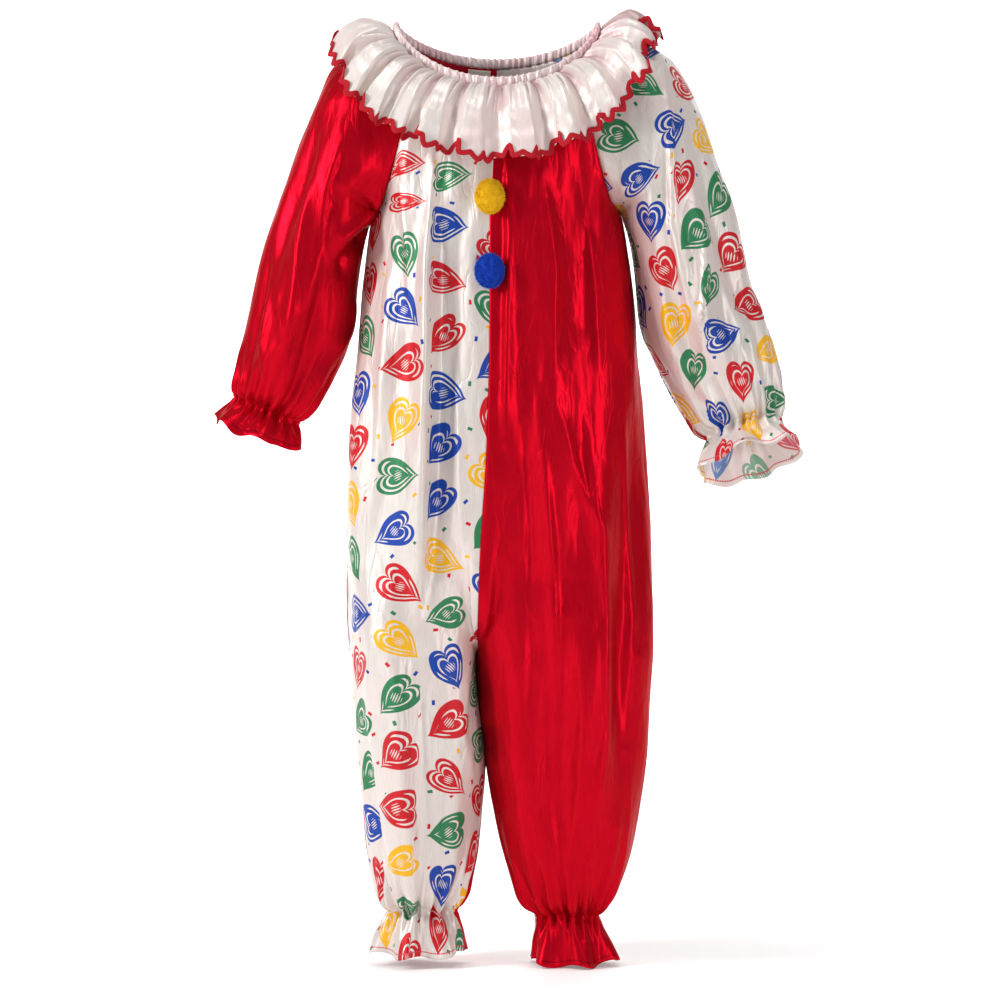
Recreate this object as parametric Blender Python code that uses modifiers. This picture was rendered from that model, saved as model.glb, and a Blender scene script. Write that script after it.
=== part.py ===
"""Harlequin clown jumpsuit for a child, filled out as if worn.

Metres, +Z up, the front faces -Y and +X is the wearer's left. The origin is the centre of the neck opening.
Every cut piece is a loft between sections worked out from the tables below, which are in millimetres, and
gets its wall from Solidify. Pieces that are sewn together lie SEAM apart.
"""

from math import cos, radians, sin, tau

import bmesh
import bpy
import numpy as np
from mathutils import Vector
from mathutils.bvhtree import BVHTree

MM = 0.001

# Driving sizes, in millimetres.
WALL = 1.2  # thickness of every cloth wall
SEAM = 0.36  # gap between two pieces along a seam
NECK_HALF_WIDTH = 107.0
NECK_HALF_DEPTH = 62.0
NECK_SIDE_Z, NECK_FRONT_Z, NECK_BACK_Z = 25.0, -40.0, -7.0
NECK_FRONT_POWER, NECK_BACK_POWER = 1.3, 1.5
RAGLAN_AT = 45.0  # degrees round the neck from its side to a raglan seam
CASING_HALF_HEIGHT, CASING_HALF_WIDTH, CASING_WAVES = 5.2, 2.3, 48
CASING_PUFF = 0.45  # how far its pleats stand out and in
PANEL_TOP_DROP, PANEL_TOP_OUT = CASING_HALF_HEIGHT + 0.8, 0.6  # the panels' tops from the casing's middle
COLLAR_WAVES, COLLAR_COLUMNS, COLLAR_TOP_OUT, COLLAR_TOP_DROP = 23, 115, 3.4, 3.6
COLLAR_SHARES = (0.0, 0.16, 0.4, 0.65, 0.85, 1.0)  # rows of the collar, from the casing to its edge
COLLAR_RISE, COLLAR_RISE_FRONT_BACK = 7.0, 10.0  # how far it stands up by the casing, and more front and back
COLLAR_BEND = 22.0  # how steeply it falls at its edge
COLLAR_WAVE_TOP, COLLAR_WAVE_EDGE = 0.9, 9.3  # the waves' height at the casing, and what the edge has more
RICKRACK_PITCH_COUNT, RICKRACK_HALF_WIDTH, RICKRACK_AMPLITUDE = 115, 2.2, 1.9
RICKRACK_LIFT, RICKRACK_UP = 0.95, 1.5  # off the cloth, and up from its edge
CHEST, SHOULDERS = (0.0, 0.0, -60.0), (0.0, 0.0, -100.0)  # points inside the garment
CROTCH_Z, RISE_CURVE_TOP_Z = -640.0, -565.0
EASE_TOP_Z, EASE_BOTTOM_Z, EASE_ROUNDS = -530.0, -700.0, 30
TORSO_SQUARE = 2.5  # the torso's superellipse: 2 is an ellipse, more is fuller
LEG_GAP = 0.7  # between the two legs where they lie against each other
ANKLE_WAVES, WRIST_WAVES = 9, 16  # to a leg panel, and round a wrist
FOLD_FADE, GATHER_FADE, GATHER_LEAST = 14.0, 5.0, 0.15  # how far from a seam folds and gathers fade out
UNDERARM_DEPTH = 69.0  # half the depth of a sleeve where the raglan seams meet

SIDES = {"right": -1, "left": 1}
FACES = {"front": -1, "back": 1}

# Raglan stations, from the underarm to the neck. seam_x and seam_depth are the raglan seam's distance from
# the middle and from the side plane, start is where the sleeve's arch begins below the level, in degrees.
RAGLAN_COLUMNS = (
    "seam_x", "seam_depth", "front_z", "back_z", "start", "centre_depth", "front_mid", "back_mid",
)
RAGLAN = (
    (131.0, 0.0, -175.0, -175.0, -90.0, 84.0, -175.0, -175.0),
    (120.5, 33.0, -164.0, -163.0, -62.0, 84.0, -165.0, -164.0),
    (112.5, 51.0, -141.0, -138.0, -45.0, 83.5, -147.0, -141.0),
    (105.0, 59.0, -113.0, -108.0, -32.0, 82.0, -124.0, -112.0),
    (97.5, 59.5, -84.0, -74.0, -22.0, 78.0, -98.0, -81.0),
    (88.0, 54.0, -53.0, -38.0, -12.0, 71.0, -72.0, -48.0),
)

# Each sleeve's crest beside the raglan stations: x, z.
CREST = {
    "right": (
        (-225.0, -148.0), (-216.0, -122.0), (-203.0, -88.0), (-188.0, -52.0), (-169.0, -18.0), (-140.0, 6.0),
    ),
    "left": (
        (236.0, -131.0), (227.0, -97.0), (216.0, -64.0), (201.0, -33.0), (179.0, -5.0), (143.0, 5.0),
    ),
}

# Sleeve sections below the underarm: the crest's and the underside's x and z, half the depth, how far the
# middle lies forward, how far the front is tipped up in degrees, and the height of the gathers.
SLEEVE_COLUMNS = ("crest_x", "crest_z", "under_x", "under_z", "depth", "forward", "tip", "gather")
SLEEVE = {
    "right": (
        (-238.0, -186.0, -142.0, -213.0, 67.0, 0.0, 0.0, 0.0),
        (-251.0, -228.0, -147.5, -249.0, 65.0, 0.0, 0.0, 0.0),
        (-261.0, -261.0, -150.5, -281.0, 62.0, 0.0, 0.0, 0.0),
        (-269.5, -298.0, -158.0, -313.0, 58.0, 0.0, 2.0, 0.0),
        (-275.5, -328.0, -174.0, -345.0, 52.0, 0.0, 4.0, 0.8),
        (-277.5, -348.0, -192.0, -374.0, 43.0, 1.0, 6.0, 1.8),
        (-277.0, -360.0, -205.0, -389.0, 34.0, 2.0, 8.0, 2.3),
        (-276.5, -367.0, -211.5, -396.0, 29.0, 3.0, 8.0, 2.4),
        (-281.0, -374.0, -209.5, -404.0, 31.0, 4.0, 8.0, 3.0),
        (-291.0, -382.0, -208.5, -414.0, 38.0, 6.0, 9.0, 4.4),
        (-299.5, -391.0, -210.0, -423.0, 44.0, 8.0, 10.0, 5.4),
    ),
    "left": (
        (248.5, -180.0, 143.5, -213.0, 67.0, 0.0, 0.0, 0.0),
        (260.0, -222.0, 149.5, -250.0, 66.0, 0.0, 0.0, 0.0),
        (270.5, -256.0, 153.0, -288.0, 63.0, 0.0, 2.0, 0.0),
        (284.0, -289.0, 164.5, -325.0, 60.0, 2.0, 5.0, 0.0),
        (295.0, -317.0, 178.0, -353.0, 55.0, 5.0, 9.0, 0.8),
        (300.5, -346.0, 194.0, -381.0, 47.0, 9.0, 14.0, 1.8),
        (301.0, -370.0, 212.0, -403.0, 38.0, 14.0, 18.0, 2.5),
        (298.0, -390.0, 224.0, -414.0, 31.0, 18.0, 20.0, 2.6),
        (302.0, -401.0, 220.0, -424.0, 34.0, 22.0, 21.0, 3.4),
        (313.0, -413.0, 214.0, -438.0, 43.0, 28.0, 22.0, 5.0),
        (322.0, -424.0, 213.0, -452.0, 51.0, 34.0, 23.0, 6.2),
    ),
}

# Body and leg sections below the underarm. side is the outer edge's x, inner the centre seam's or inner leg's
# x, square how flat the inner leg is, inseam where the front panel ends round the leg in degrees.
BODY_COLUMNS = ("z", "side", "inner", "depth", "square", "inseam", "gather")
BODY = {
    "right": (
        (-215.0, -136.5, -7.5, 86.0, 2.2, 180.0, 0.0),
        (-265.0, -142.5, -7.5, 88.0, 2.2, 180.0, 0.0),
        (-325.0, -145.5, -8.0, 89.0, 2.2, 180.0, 0.0),
        (-375.0, -151.0, -9.5, 90.0, 2.2, 180.0, 0.0),
        (-435.0, -155.0, -11.5, 90.0, 2.2, 180.0, 0.0),
        (-520.0, -159.0, -17.0, 89.0, 2.2, 180.0, 0.0),
        (-565.0, -159.0, -19.0, 88.0, 4.5, 180.0, 0.0),
        (-603.0, -158.5, -20.0, 86.5, 4.5, 180.0, 0.0),
        (-624.0, -158.0, -20.5, 85.5, 4.5, 180.0, 0.0),
        (-635.0, -157.8, -20.5, 85.0, 4.5, 180.0, 0.0),
        (-640.0, -157.7, -20.4, 84.8, 4.5, 180.0, 0.0),
        (-690.0, -155.0, -17.5, 83.0, 4.0, 180.0, 0.0),
        (-750.0, -149.0, -13.0, 80.0, 3.0, 178.0, 0.0),
        (-808.0, -141.5, -16.5, 75.5, 2.3, 174.0, 0.0),
        (-845.0, -137.0, -20.0, 71.0, 2.1, 170.0, 0.6),
        (-870.0, -132.5, -25.0, 64.0, 2.0, 168.0, 1.2),
        (-890.0, -126.5, -32.0, 55.0, 2.0, 166.0, 1.8),
        (-903.0, -120.5, -40.0, 44.0, 2.0, 165.0, 2.1),
        (-912.0, -115.5, -45.0, 35.0, 2.0, 165.0, 2.2),
        (-922.0, -117.0, -43.5, 35.5, 2.0, 165.0, 2.7),
        (-940.0, -123.0, -38.0, 40.0, 2.0, 165.0, 3.9),
        (-958.0, -128.0, -33.5, 45.0, 2.0, 165.0, 5.0),
    ),
    "left": (
        (-215.0, 138.0, -7.5, 86.0, 2.2, 180.0, 0.0),
        (-265.0, 144.0, -7.5, 88.0, 2.2, 180.0, 0.0),
        (-325.0, 148.6, -8.0, 89.0, 2.2, 180.0, 0.0),
        (-375.0, 154.5, -9.5, 90.0, 2.2, 180.0, 0.0),
        (-435.0, 159.0, -11.5, 90.0, 2.2, 180.0, 0.0),
        (-520.0, 163.0, -17.0, 89.0, 2.2, 180.0, 0.0),
        (-565.0, 164.0, -19.0, 88.0, 4.5, 180.0, 0.0),
        (-603.0, 164.0, -20.0, 86.5, 4.5, 180.0, 0.0),
        (-624.0, 164.0, -20.5, 85.5, 4.5, 180.0, 0.0),
        (-635.0, 164.0, -20.5, 85.0, 4.5, 180.0, 0.0),
        (-640.0, 164.0, -20.4, 84.8, 4.5, 180.0, 0.0),
        (-690.0, 163.5, -17.5, 83.0, 4.0, 180.0, 0.0),
        (-750.0, 157.5, -12.0, 80.0, 3.0, 180.0, 0.0),
        (-796.0, 151.5, -5.5, 76.5, 2.4, 180.0, 0.0),
        (-835.0, 144.5, 2.0, 73.0, 2.1, 179.0, 0.5),
        (-865.0, 136.0, 10.5, 66.0, 2.0, 178.0, 1.1),
        (-888.0, 126.5, 19.0, 57.0, 2.0, 176.0, 1.7),
        (-905.0, 116.0, 30.0, 46.0, 2.0, 174.0, 2.1),
        (-917.0, 107.5, 43.0, 35.0, 2.0, 173.0, 2.2),
        (-927.0, 109.5, 41.5, 35.5, 2.0, 173.0, 2.7),
        (-947.0, 118.0, 37.0, 40.0, 2.0, 173.0, 3.9),
        (-967.0, 124.0, 35.5, 45.0, 2.0, 173.0, 5.0),
    ),
}

# Large soft folds: where across the piece each starts and ends (0 at its first edge, 1 at its last), its
# first and last z, its half width and its height. A negative height is a trough.
FOLD_COLUMNS = ("start", "end", "top", "bottom", "half_width", "height")
FOLDS = {
    "front_right": (
        (0.70, 0.62, -120.0, -640.0, 18.7, 7.5),
        (0.80, 0.74, -120.0, -600.0, 17.0, -6.0),
        (0.25, 0.32, -240.0, -700.0, 22.1, 6.0),
        (0.45, 0.40, -560.0, -890.0, 20.4, 7.5),
        (0.20, 0.26, -720.0, -900.0, 17.0, -6.0),
    ),
    "front_left": (
        (0.75, 0.62, -130.0, -560.0, 20.4, 6.8),
        (0.45, 0.40, -300.0, -860.0, 22.1, 8.2),
        (0.25, 0.28, -380.0, -820.0, 20.4, -6.8),
        (0.58, 0.50, -600.0, -900.0, 18.7, -6.8),
    ),
    "back_right": (
        (0.68, 0.60, -150.0, -620.0, 20.4, 7.5),
        (0.35, 0.38, -260.0, -860.0, 22.1, -6.8),
        (0.50, 0.46, -640.0, -900.0, 18.7, 6.8),
    ),
    "back_left": (
        (0.66, 0.58, -150.0, -600.0, 20.4, 7.5),
        (0.35, 0.40, -300.0, -880.0, 22.1, -6.8),
        (0.48, 0.44, -620.0, -900.0, 18.7, 6.8),
    ),
    "sleeve_right": (
        (0.16, 0.30, -130.0, -375.0, 15.3, 6.8),
        (0.32, 0.40, -60.0, -370.0, 15.3, -6.0),
        (0.70, 0.62, -70.0, -370.0, 17.0, 6.8),
    ),
    "sleeve_left": (
        (0.18, 0.28, -130.0, -400.0, 15.3, 6.8),
        (0.34, 0.40, -60.0, -390.0, 15.3, -6.8),
        (0.72, 0.64, -70.0, -390.0, 17.0, 6.8),
    ),
}

# The ruffle's lower edge: degrees round from the wearer's left side over the front, its distance out from the
# middle, and its height.
RUFFLE_COLUMNS = ("round", "x", "y", "z")
RUFFLE_EDGE = (
    (0.0, 163.0, 0.0, 21.0),
    (22.5, 155.0, -62.0, -21.0),
    (45.0, 121.0, -100.0, -75.0),
    (67.5, 63.0, -109.0, -110.0),
    (90.0, -4.0, -115.0, -119.0),
    (112.5, -70.0, -110.0, -108.0),
    (135.0, -127.0, -97.0, -78.0),
    (157.5, -162.0, -57.0, -34.0),
    (180.0, -174.0, 0.0, 7.0),
    (202.5, -157.0, 54.0, -14.0),
    (225.0, -119.0, 88.0, -54.0),
    (247.5, -64.0, 105.0, -76.0),
    (270.0, -3.0, 110.0, -84.0),
    (292.5, 58.0, 105.0, -76.0),
    (315.0, 112.0, 88.0, -54.0),
    (337.5, 149.0, 54.0, -4.0),
)

# Sections: how many points a section is worked out with, and how many spans it is built with.
FINE = 73
NECK_ROW = (0.0,)
COARSE, COARSE_SHIFT = 20, 0.09  # below so many spans, points move this share towards the seams
PANEL_NECK_SPANS, PANEL_SPANS, ANKLE_SPANS = 16, 11, 27
SLEEVE_NECK_SPANS, SLEEVE_SPANS, WRIST_SPANS = 32, 16, 48
BODY_ROWS = (
    1.0, 2.0, 3.5, 5.0, 6.0, 7.0, 8.5, 10.0, 11.0, 12.0, 13.0, 14.0, 15.0, 16.0, 17.0, 18.0, 19.0, 20.0, 21.0,
)
ANKLE_ROWS = (21.7, 22.5, 23.3, 24.2, 25.0, 26.0, 27.0, 28.0)
SLEEVE_ROWS = (1.0, 2.0, 3.5, 5.0, 6.0, 7.0, 8.0, 9.0, 10.0, 11.0)
WRIST_ROWS = (11.6, 12.3, 13.0, 13.8, 14.8, 15.8, 17.0)

RED_SATIN, PRINT_SATIN, WHITE_SATIN = "C8102E", "EFE6E2", "F1E7E4"
BRAID_RED, POMPOM_YELLOW, POMPOM_BLUE = "C01528", "F5BE12", "0B3FA8"

LABEL_ROWS, LABEL_X, LABEL_GAP = (0.06, 0.35, 0.65), (-31.0, -23.0, -15.0, -7.0), 0.5
POMPOM_X, POMPOM_START = -7.5, 200.0
POMPOM_HALF_WIDTH, POMPOM_HALF_HEIGHT, POMPOM_HALF_DEPTH = 14.0, 17.5, 12.0
POMPOM_LOCK, POMPOM_FLAT = 2.4, 0.8
POMPOMS = (("pompom_yellow", -163.0, POMPOM_YELLOW), ("pompom_blue", -240.5, POMPOM_BLUE))


def linear(hex_colour):
    """The linear colour of an sRGB hex value."""
    parts = [int(hex_colour[i : i + 2], 16) / 255 for i in (0, 2, 4)]
    return [*(c / 12.92 if c <= 0.04045 else ((c + 0.055) / 1.055) ** 2.4 for c in parts), 1.0]


def finish(name, hex_colour, roughness):
    material = bpy.data.materials.new(name)
    material.use_nodes = True
    shader = material.node_tree.nodes["Principled BSDF"]
    shader.inputs["Base Color"].default_value = linear(hex_colour)
    shader.inputs["Roughness"].default_value = roughness
    shader.inputs["Metallic"].default_value = 0.0
    return material


def named(columns, row):
    return dict(zip(columns, row))


def neck_ring(degrees, out=0.0, up=0.0):
    """A point of the neck's middle line, moved outwards and up; 0 is the wearer's left side, 90 the front."""
    c, s = cos(radians(degrees)), sin(radians(degrees))
    low, power = (NECK_FRONT_Z, NECK_FRONT_POWER) if s >= 0 else (NECK_BACK_Z, NECK_BACK_POWER)
    z = NECK_SIDE_Z - (NECK_SIDE_Z - low) * abs(s) ** power
    away = np.array([c / NECK_HALF_WIDTH, -s / NECK_HALF_DEPTH])
    away /= np.linalg.norm(away)
    return np.array([NECK_HALF_WIDTH * c + out * away[0], -NECK_HALF_DEPTH * s + out * away[1], z + up])


def even(points, count=FINE, trim=(SEAM / 2, SEAM / 2)):
    """The line through points as count points at even spacing, shortened at its ends by trim."""
    points = np.array(points)
    run = np.concatenate([[0.0], np.cumsum(np.linalg.norm(np.diff(points, axis=0), axis=1))])
    at = np.linspace(trim[0], run[-1] - trim[1], count)
    return np.stack([np.interp(at, run, points[:, k]) for k in range(3)], axis=1)


def between(stations, at):
    """The sections at the given places among stations, on smooth curves that never overshoot them."""
    stations = np.array(stations)
    steps = np.linalg.norm(np.diff(stations, axis=0), axis=2).mean(axis=1)
    each = np.diff(stations, axis=0) / steps[:, None, None]
    slope = np.concatenate([each[:1], np.zeros_like(each[1:]), each[-1:]])
    same = each[:-1] * each[1:] > 0
    slope[1:-1][same] = 2 * each[:-1][same] * each[1:][same] / (each[:-1] + each[1:])[same]
    rows = []
    for place in at:
        k = min(int(place), len(stations) - 2)
        t, span = place - k, steps[k]
        rows.append(
            (2 * t**3 - 3 * t**2 + 1) * stations[k]
            + (t**3 - 2 * t**2 + t) * span * slope[k]
            + (3 * t**2 - 2 * t**3) * stations[k + 1]
            + (t**3 - t**2) * span * slope[k + 1]
        )
    return np.array(rows)


def power(value, exponent):
    return np.sign(value) * np.abs(value) ** exponent


def torso_section(row, face):
    """From the side seam to the centre seam."""
    angle = np.radians(np.linspace(0, 90, 4 * FINE))
    round_off = 2 / TORSO_SQUARE
    x = row["inner"] + (row["side"] - row["inner"]) * power(np.cos(angle), round_off)
    y = face * row["depth"] * power(np.sin(angle), round_off)
    return np.stack([x, y, np.full_like(x, row["z"])], axis=1)


def leg_section(row, face):
    """From the side seam round to the inseam."""
    end = row["inseam"] if face < 0 else 360 - row["inseam"]
    angle = np.radians(np.linspace(0, end, 8 * FINE))
    square = np.where(np.cos(angle) < 0, row["square"], 2.2)
    middle, half = (row["side"] + row["inner"]) / 2, (row["side"] - row["inner"]) / 2
    x = middle + half * power(np.cos(angle), 2 / square)
    y = face * row["depth"] * power(np.sin(angle), 2 / square)
    return np.stack([x, y, np.full_like(x, row["z"])], axis=1)


def body_stations(side, face):
    """Sections of one body panel, from the neck to the hem of its leg."""
    way = SIDES[side]
    stations = []
    neck_side = 0 if way > 0 else 180
    turn = -way * face
    turns = neck_side + turn * np.linspace(RAGLAN_AT, 90, 41)
    stations.append(even([neck_ring(at, PANEL_TOP_OUT, -PANEL_TOP_DROP) for at in turns]))
    bottom_of_raglan = named(BODY_COLUMNS, BODY[side][0])
    for k, values in enumerate(reversed(RAGLAN)):
        row = named(RAGLAN_COLUMNS, values)
        seam_z, mid_z = (row["front_z"], row["front_mid"]) if face < 0 else (row["back_z"], row["back_mid"])
        round_off = 2 / TORSO_SQUARE
        first = np.arcsin((row["seam_depth"] / row["centre_depth"]) ** (1 / round_off))
        angle = np.linspace(first, np.pi / 2, 4 * FINE)
        centre_x = bottom_of_raglan["inner"] * (k + 1) / len(RAGLAN)
        fade = power(np.cos(angle) / np.cos(first), round_off)
        x = centre_x + (way * row["seam_x"] - centre_x) * fade
        low = np.sin(first) ** round_off
        rise = (power(np.sin(angle), round_off) - low) / (1 - low)
        y = face * (row["seam_depth"] + (row["centre_depth"] - row["seam_depth"]) * rise)
        z = mid_z + (seam_z - mid_z) * fade**1.5
        stations.append(even(np.stack([x, y, z], axis=1)))
    for values in BODY[side]:
        row = named(BODY_COLUMNS, values)
        row["inner"] += way * LEG_GAP / 2 if row["z"] <= RISE_CURVE_TOP_Z else 0.0
        stations.append(rise_section(row, face))
    return eased(np.array(stations))


def eased(stations):
    """The stations with the shape's turn from torso to leg softened, but for the panel's inner edge."""
    hold = np.clip((np.linspace(0, 1, FINE) - 0.7) / 0.25, 0, 1)[None, :, None]
    mid = (stations[:, :, 2].mean(axis=1) < EASE_TOP_Z) & (stations[:, :, 2].mean(axis=1) > EASE_BOTTOM_Z)
    here = np.flatnonzero(mid)
    for _ in range(EASE_ROUNDS):
        before, now, after = stations[here - 1], stations[here], stations[here + 1]
        up = np.abs(before[:, :1, 2:] - now[:, :1, 2:])
        down = np.abs(now[:, :1, 2:] - after[:, :1, 2:])
        soft = (before * down + after * up) / (up + down)
        moved = now + (soft - now) * 0.5 * (1 - hold)
        moved[:, :, 2] = now[:, :, 2]
        stations[here] = moved
    return stations


def rise_section(row, face):
    """A torso section above the rise curve, a leg section below the crotch, and a blend of both between them.

    The panel's inner edge follows the rise curve, a quarter of an ellipse in the plane of the centre seam.
    """
    t = min(max((RISE_CURVE_TOP_Z - row["z"]) / (RISE_CURVE_TOP_Z - CROTCH_Z), 0.0), 1.0)
    torso = even(torso_section(row, face))
    if t == 0:
        return torso
    share = 1 - (1 - t) ** 2
    leg = leg_section(row, face)
    edge_depth = max(0.0, ((1 - t * t) ** 0.5 - (1 - share)) / share) * row["depth"]
    inner_half = np.arange(len(leg)) > len(leg) * 0.55
    cut = len(leg) if t == 1 else int(np.argmax(inner_half & (np.abs(leg[:, 1]) <= edge_depth)))
    section = torso + (even(leg[:cut]) - torso) * share
    if t < 1:
        across = np.linspace(0, 1, FINE)
        section[:, 0] += (row["inner"] - section[-1, 0]) * np.clip((across - 0.6) / 0.4, 0, 1) ** 2
    return section


def arch(crest, seam, start, depth, forward, tip, face):
    """Half a sleeve section, from its seam or underside to its crest. crest and seam are x, z pairs."""
    crest, seam = np.array(crest), np.array(seam)
    first = radians(start)
    angle = np.linspace(first, np.pi / 2, 4 * FINE)
    reach = (1 - np.sin(angle)) / (1 - sin(first))
    line = crest + (seam - crest) * reach[:, None]
    half = depth * np.cos(angle)
    lift = -face * half * sin(radians(tip))
    y = face * half * cos(radians(tip)) - forward
    return np.stack([line[:, 0], y, line[:, 1] + lift], axis=1)


def sleeve_stations(side):
    """Sections of a sleeve, from its front edge over the crest to its back edge, neck to hem."""
    way = SIDES[side]
    neck_side = 0 if way > 0 else 180
    half = FINE // 2 + 1
    turns = way * np.linspace(0, RAGLAN_AT, 41)
    first = [neck_ring(neck_side + at, PANEL_TOP_OUT, -PANEL_TOP_DROP) for at in turns[::-1]]
    last = [neck_ring(neck_side - at, PANEL_TOP_OUT, -PANEL_TOP_DROP) for at in turns]
    stations = [joined(first, last, half)]
    for k in reversed(range(len(RAGLAN))):
        row = named(RAGLAN_COLUMNS, RAGLAN[k])
        halves = []
        for face, seam_z in ((-1, row["front_z"]), (1, row["back_z"])):
            depth = row["seam_depth"] / cos(radians(row["start"])) if row["seam_depth"] else UNDERARM_DEPTH
            seam = (way * row["seam_x"], seam_z)
            halves.append(arch(CREST[side][k], seam, row["start"], depth, 0.0, 0.0, face))
        stations.append(joined(halves[0], halves[1][::-1], half, SEAM if k == 0 else SEAM / 2))
    for values in SLEEVE[side]:
        row = named(SLEEVE_COLUMNS, values)
        crest, under = (row["crest_x"], row["crest_z"]), (row["under_x"], row["under_z"])
        sizes = (row["depth"], row["forward"], row["tip"])
        halves = [arch(crest, under, -90.0, *sizes, face) for face in (-1, 1)]
        stations.append(joined(halves[0], halves[1][::-1], half))
    return stations


def joined(first, last, half, trim=SEAM / 2):
    """Two half sections as one, with the same number of points on each side of the crest."""
    a = even(first, half, (trim, 0.0))
    b = even(last, half, (0.0, trim))
    return np.concatenate([a, b[1:]])


def outward(rows, middle):
    """Unit normals of a sheet of rows, pointing away from the middle of each row."""
    along = np.gradient(rows, axis=1)
    down = np.gradient(rows, axis=0)
    normal = np.cross(along, down)
    normal /= np.maximum(np.linalg.norm(normal, axis=2, keepdims=True), 1e-9)
    away = rows - middle
    turned = np.sign(np.einsum("ijk,ijk->ij", normal, away).mean())
    return normal * turned


def fold_height(piece, across, z, width):
    """How far the piece's folds stand out at a place across it and a height."""
    total = np.zeros_like(z)
    for values in FOLDS[piece]:
        fold = named(FOLD_COLUMNS, values)
        t = (fold["top"] - z) / (fold["top"] - fold["bottom"])
        centre = fold["start"] + (fold["end"] - fold["start"]) * t
        strength = np.sin(np.pi * np.clip(t, 0, 1)) ** 0.7
        total += fold["height"] * strength * np.exp(-(((across - centre) * width / fold["half_width"]) ** 2))
    return total


def shaped(piece, rows, gathers, waves, middle, steady=None):
    """The rows with the piece's folds and gathers, moved along the sheet's normals."""
    across = places_of(rows.shape[1] - 1)[None, :] * np.ones((len(rows), 1))
    width = np.linalg.norm(np.diff(rows, axis=1), axis=2).sum(axis=1)[:, None]
    height = fold_height(piece, across, rows[:, :, 2], width)
    to_seam = np.minimum(across, 1 - across) * width
    if steady is not None:
        height = height * steady
    by_seam = np.clip(to_seam / GATHER_FADE, GATHER_LEAST, 1)
    pleats = -np.cos(tau * waves * across)
    height = height * np.clip(to_seam / FOLD_FADE, 0, 1) + gathers[:, None] * by_seam * pleats
    return rows + outward(rows, middle) * height[:, :, None]


def zipped(mesh, upper, lower, closed=False):
    """Faces between two rows of vertices, also where their numbers differ."""
    if closed:
        upper, lower = [*upper, upper[0]], [*lower, lower[0]]
    upper_at, lower_at = places_of(len(upper) - 1), places_of(len(lower) - 1)
    i = j = 0
    while i < len(upper) - 1 or j < len(lower) - 1:
        ends = ((upper_at, i), (lower_at, j))
        next_i, next_j = (at[min(k + 1, len(at) - 1)] + (k + 1 == len(at)) for at, k in ends)
        if len(upper) == len(lower):
            mesh.faces.new((upper[i], lower[j], lower[j + 1], upper[i + 1]))
            i, j = i + 1, j + 1
        elif next_i < next_j:
            mesh.faces.new((upper[i], lower[j], upper[i + 1]))
            i += 1
        else:
            mesh.faces.new((upper[i], lower[j], lower[j + 1]))
            j += 1


def sheet(name, rows, inside, material, collection, closed=False):
    """A wall of cloth whose outer side passes through rows of points, in millimetres.

    inside gives a point on the hollow side of each row, which tells which way the cloth faces.
    """
    mesh = bmesh.new()
    lines = [[mesh.verts.new(point * MM) for point in row] for row in rows]
    for upper, lower in zip(lines, lines[1:]):
        zipped(mesh, upper, lower, closed)
    mesh.normal_update()
    centre = {vert: point for line, point in zip(lines, inside) for vert in line}
    out = 0.0
    for face in mesh.faces:
        corner = face.verts[0]
        out += (corner.co / MM - Vector(centre[corner])).dot(face.normal) * face.calc_area()
    if out < 0:
        bmesh.ops.reverse_faces(mesh, faces=mesh.faces)
    piece = placed(name, mesh, material, collection)
    wall = piece.modifiers.new("wall", "SOLIDIFY")
    wall.thickness = WALL * MM
    wall.offset = -1.0
    wall.use_quality_normals = True
    return piece


def placed(name, mesh, material, collection):
    data = bpy.data.meshes.new(name)
    mesh.to_mesh(data)
    mesh.free()
    data.shade_smooth()
    data.materials.append(material)
    piece = bpy.data.objects.new(name, data)
    collection.objects.link(piece)
    return piece


def places_of(spans):
    """Where across a section its points lie, from 0 to 1: on a coarse one closer together by the seams."""
    even_places = np.linspace(0, 1, spans + 1)
    return even_places - (COARSE_SHIFT * np.sin(tau * even_places) if spans < COARSE else 0)


def picked(rows, spans):
    """Each row with spans + 1 points at even places of it."""
    places = places_of(spans) * (rows.shape[1] - 1)
    low = np.minimum(places.astype(int), rows.shape[1] - 2)
    part = (places - low)[None, :, None]
    return rows[:, low] * (1 - part) + rows[:, low + 1] * part


def gathers_at(places, before, table, columns):
    """The gathers' height at places among the stations, before which come stations without any."""
    heights = [0.0] * before + [named(columns, row)["gather"] for row in table]
    return np.interp(places, range(len(heights)), heights)


def body_panel(face, side, material, collection):
    name = f"{face}_{side}"
    stations = body_stations(side, FACES[face])
    before = len(RAGLAN) + 1
    lines, inside = [], []
    for places, spans in ((NECK_ROW, PANEL_NECK_SPANS), (BODY_ROWS, PANEL_SPANS), (ANKLE_ROWS, ANKLE_SPANS)):
        rows = picked(between(stations, places), spans)
        z = rows[:, :, 2]
        across = places_of(spans)[None, :]
        inside_leg = np.clip((across - 0.6) / 0.1, 0, 1) * np.clip((-540 - z) / 30, 0, 1)
        heights = gathers_at(places, before, BODY[side], BODY_COLUMNS)
        middle = rows.mean(axis=1, keepdims=True) * np.array([1, 0, 1])
        inside.extend(middle[:, 0])
        if len(rows) > 1:
            rows = shaped(name, rows, heights, ANKLE_WAVES, middle, 1 - inside_leg)
        lines.extend(rows)
    return sheet(name, lines, inside, material, collection)


def sleeve(side, material, collection):
    name = f"sleeve_{side}"
    stations = sleeve_stations(side)
    before = len(RAGLAN) + 1
    lines, inside = [], []
    bands = ((NECK_ROW, SLEEVE_NECK_SPANS), (SLEEVE_ROWS, SLEEVE_SPANS), (WRIST_ROWS, WRIST_SPANS))
    for places, spans in bands:
        rows = picked(between(stations, places), spans)
        heights = gathers_at(places, before, SLEEVE[side], SLEEVE_COLUMNS)
        middle = rows.mean(axis=1, keepdims=True)
        inside.extend(middle[:, 0])
        lines.extend(rows if len(rows) == 1 else shaped(name, rows, heights, WRIST_WAVES, middle))
    return sheet(name, lines, inside, material, collection)


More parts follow.
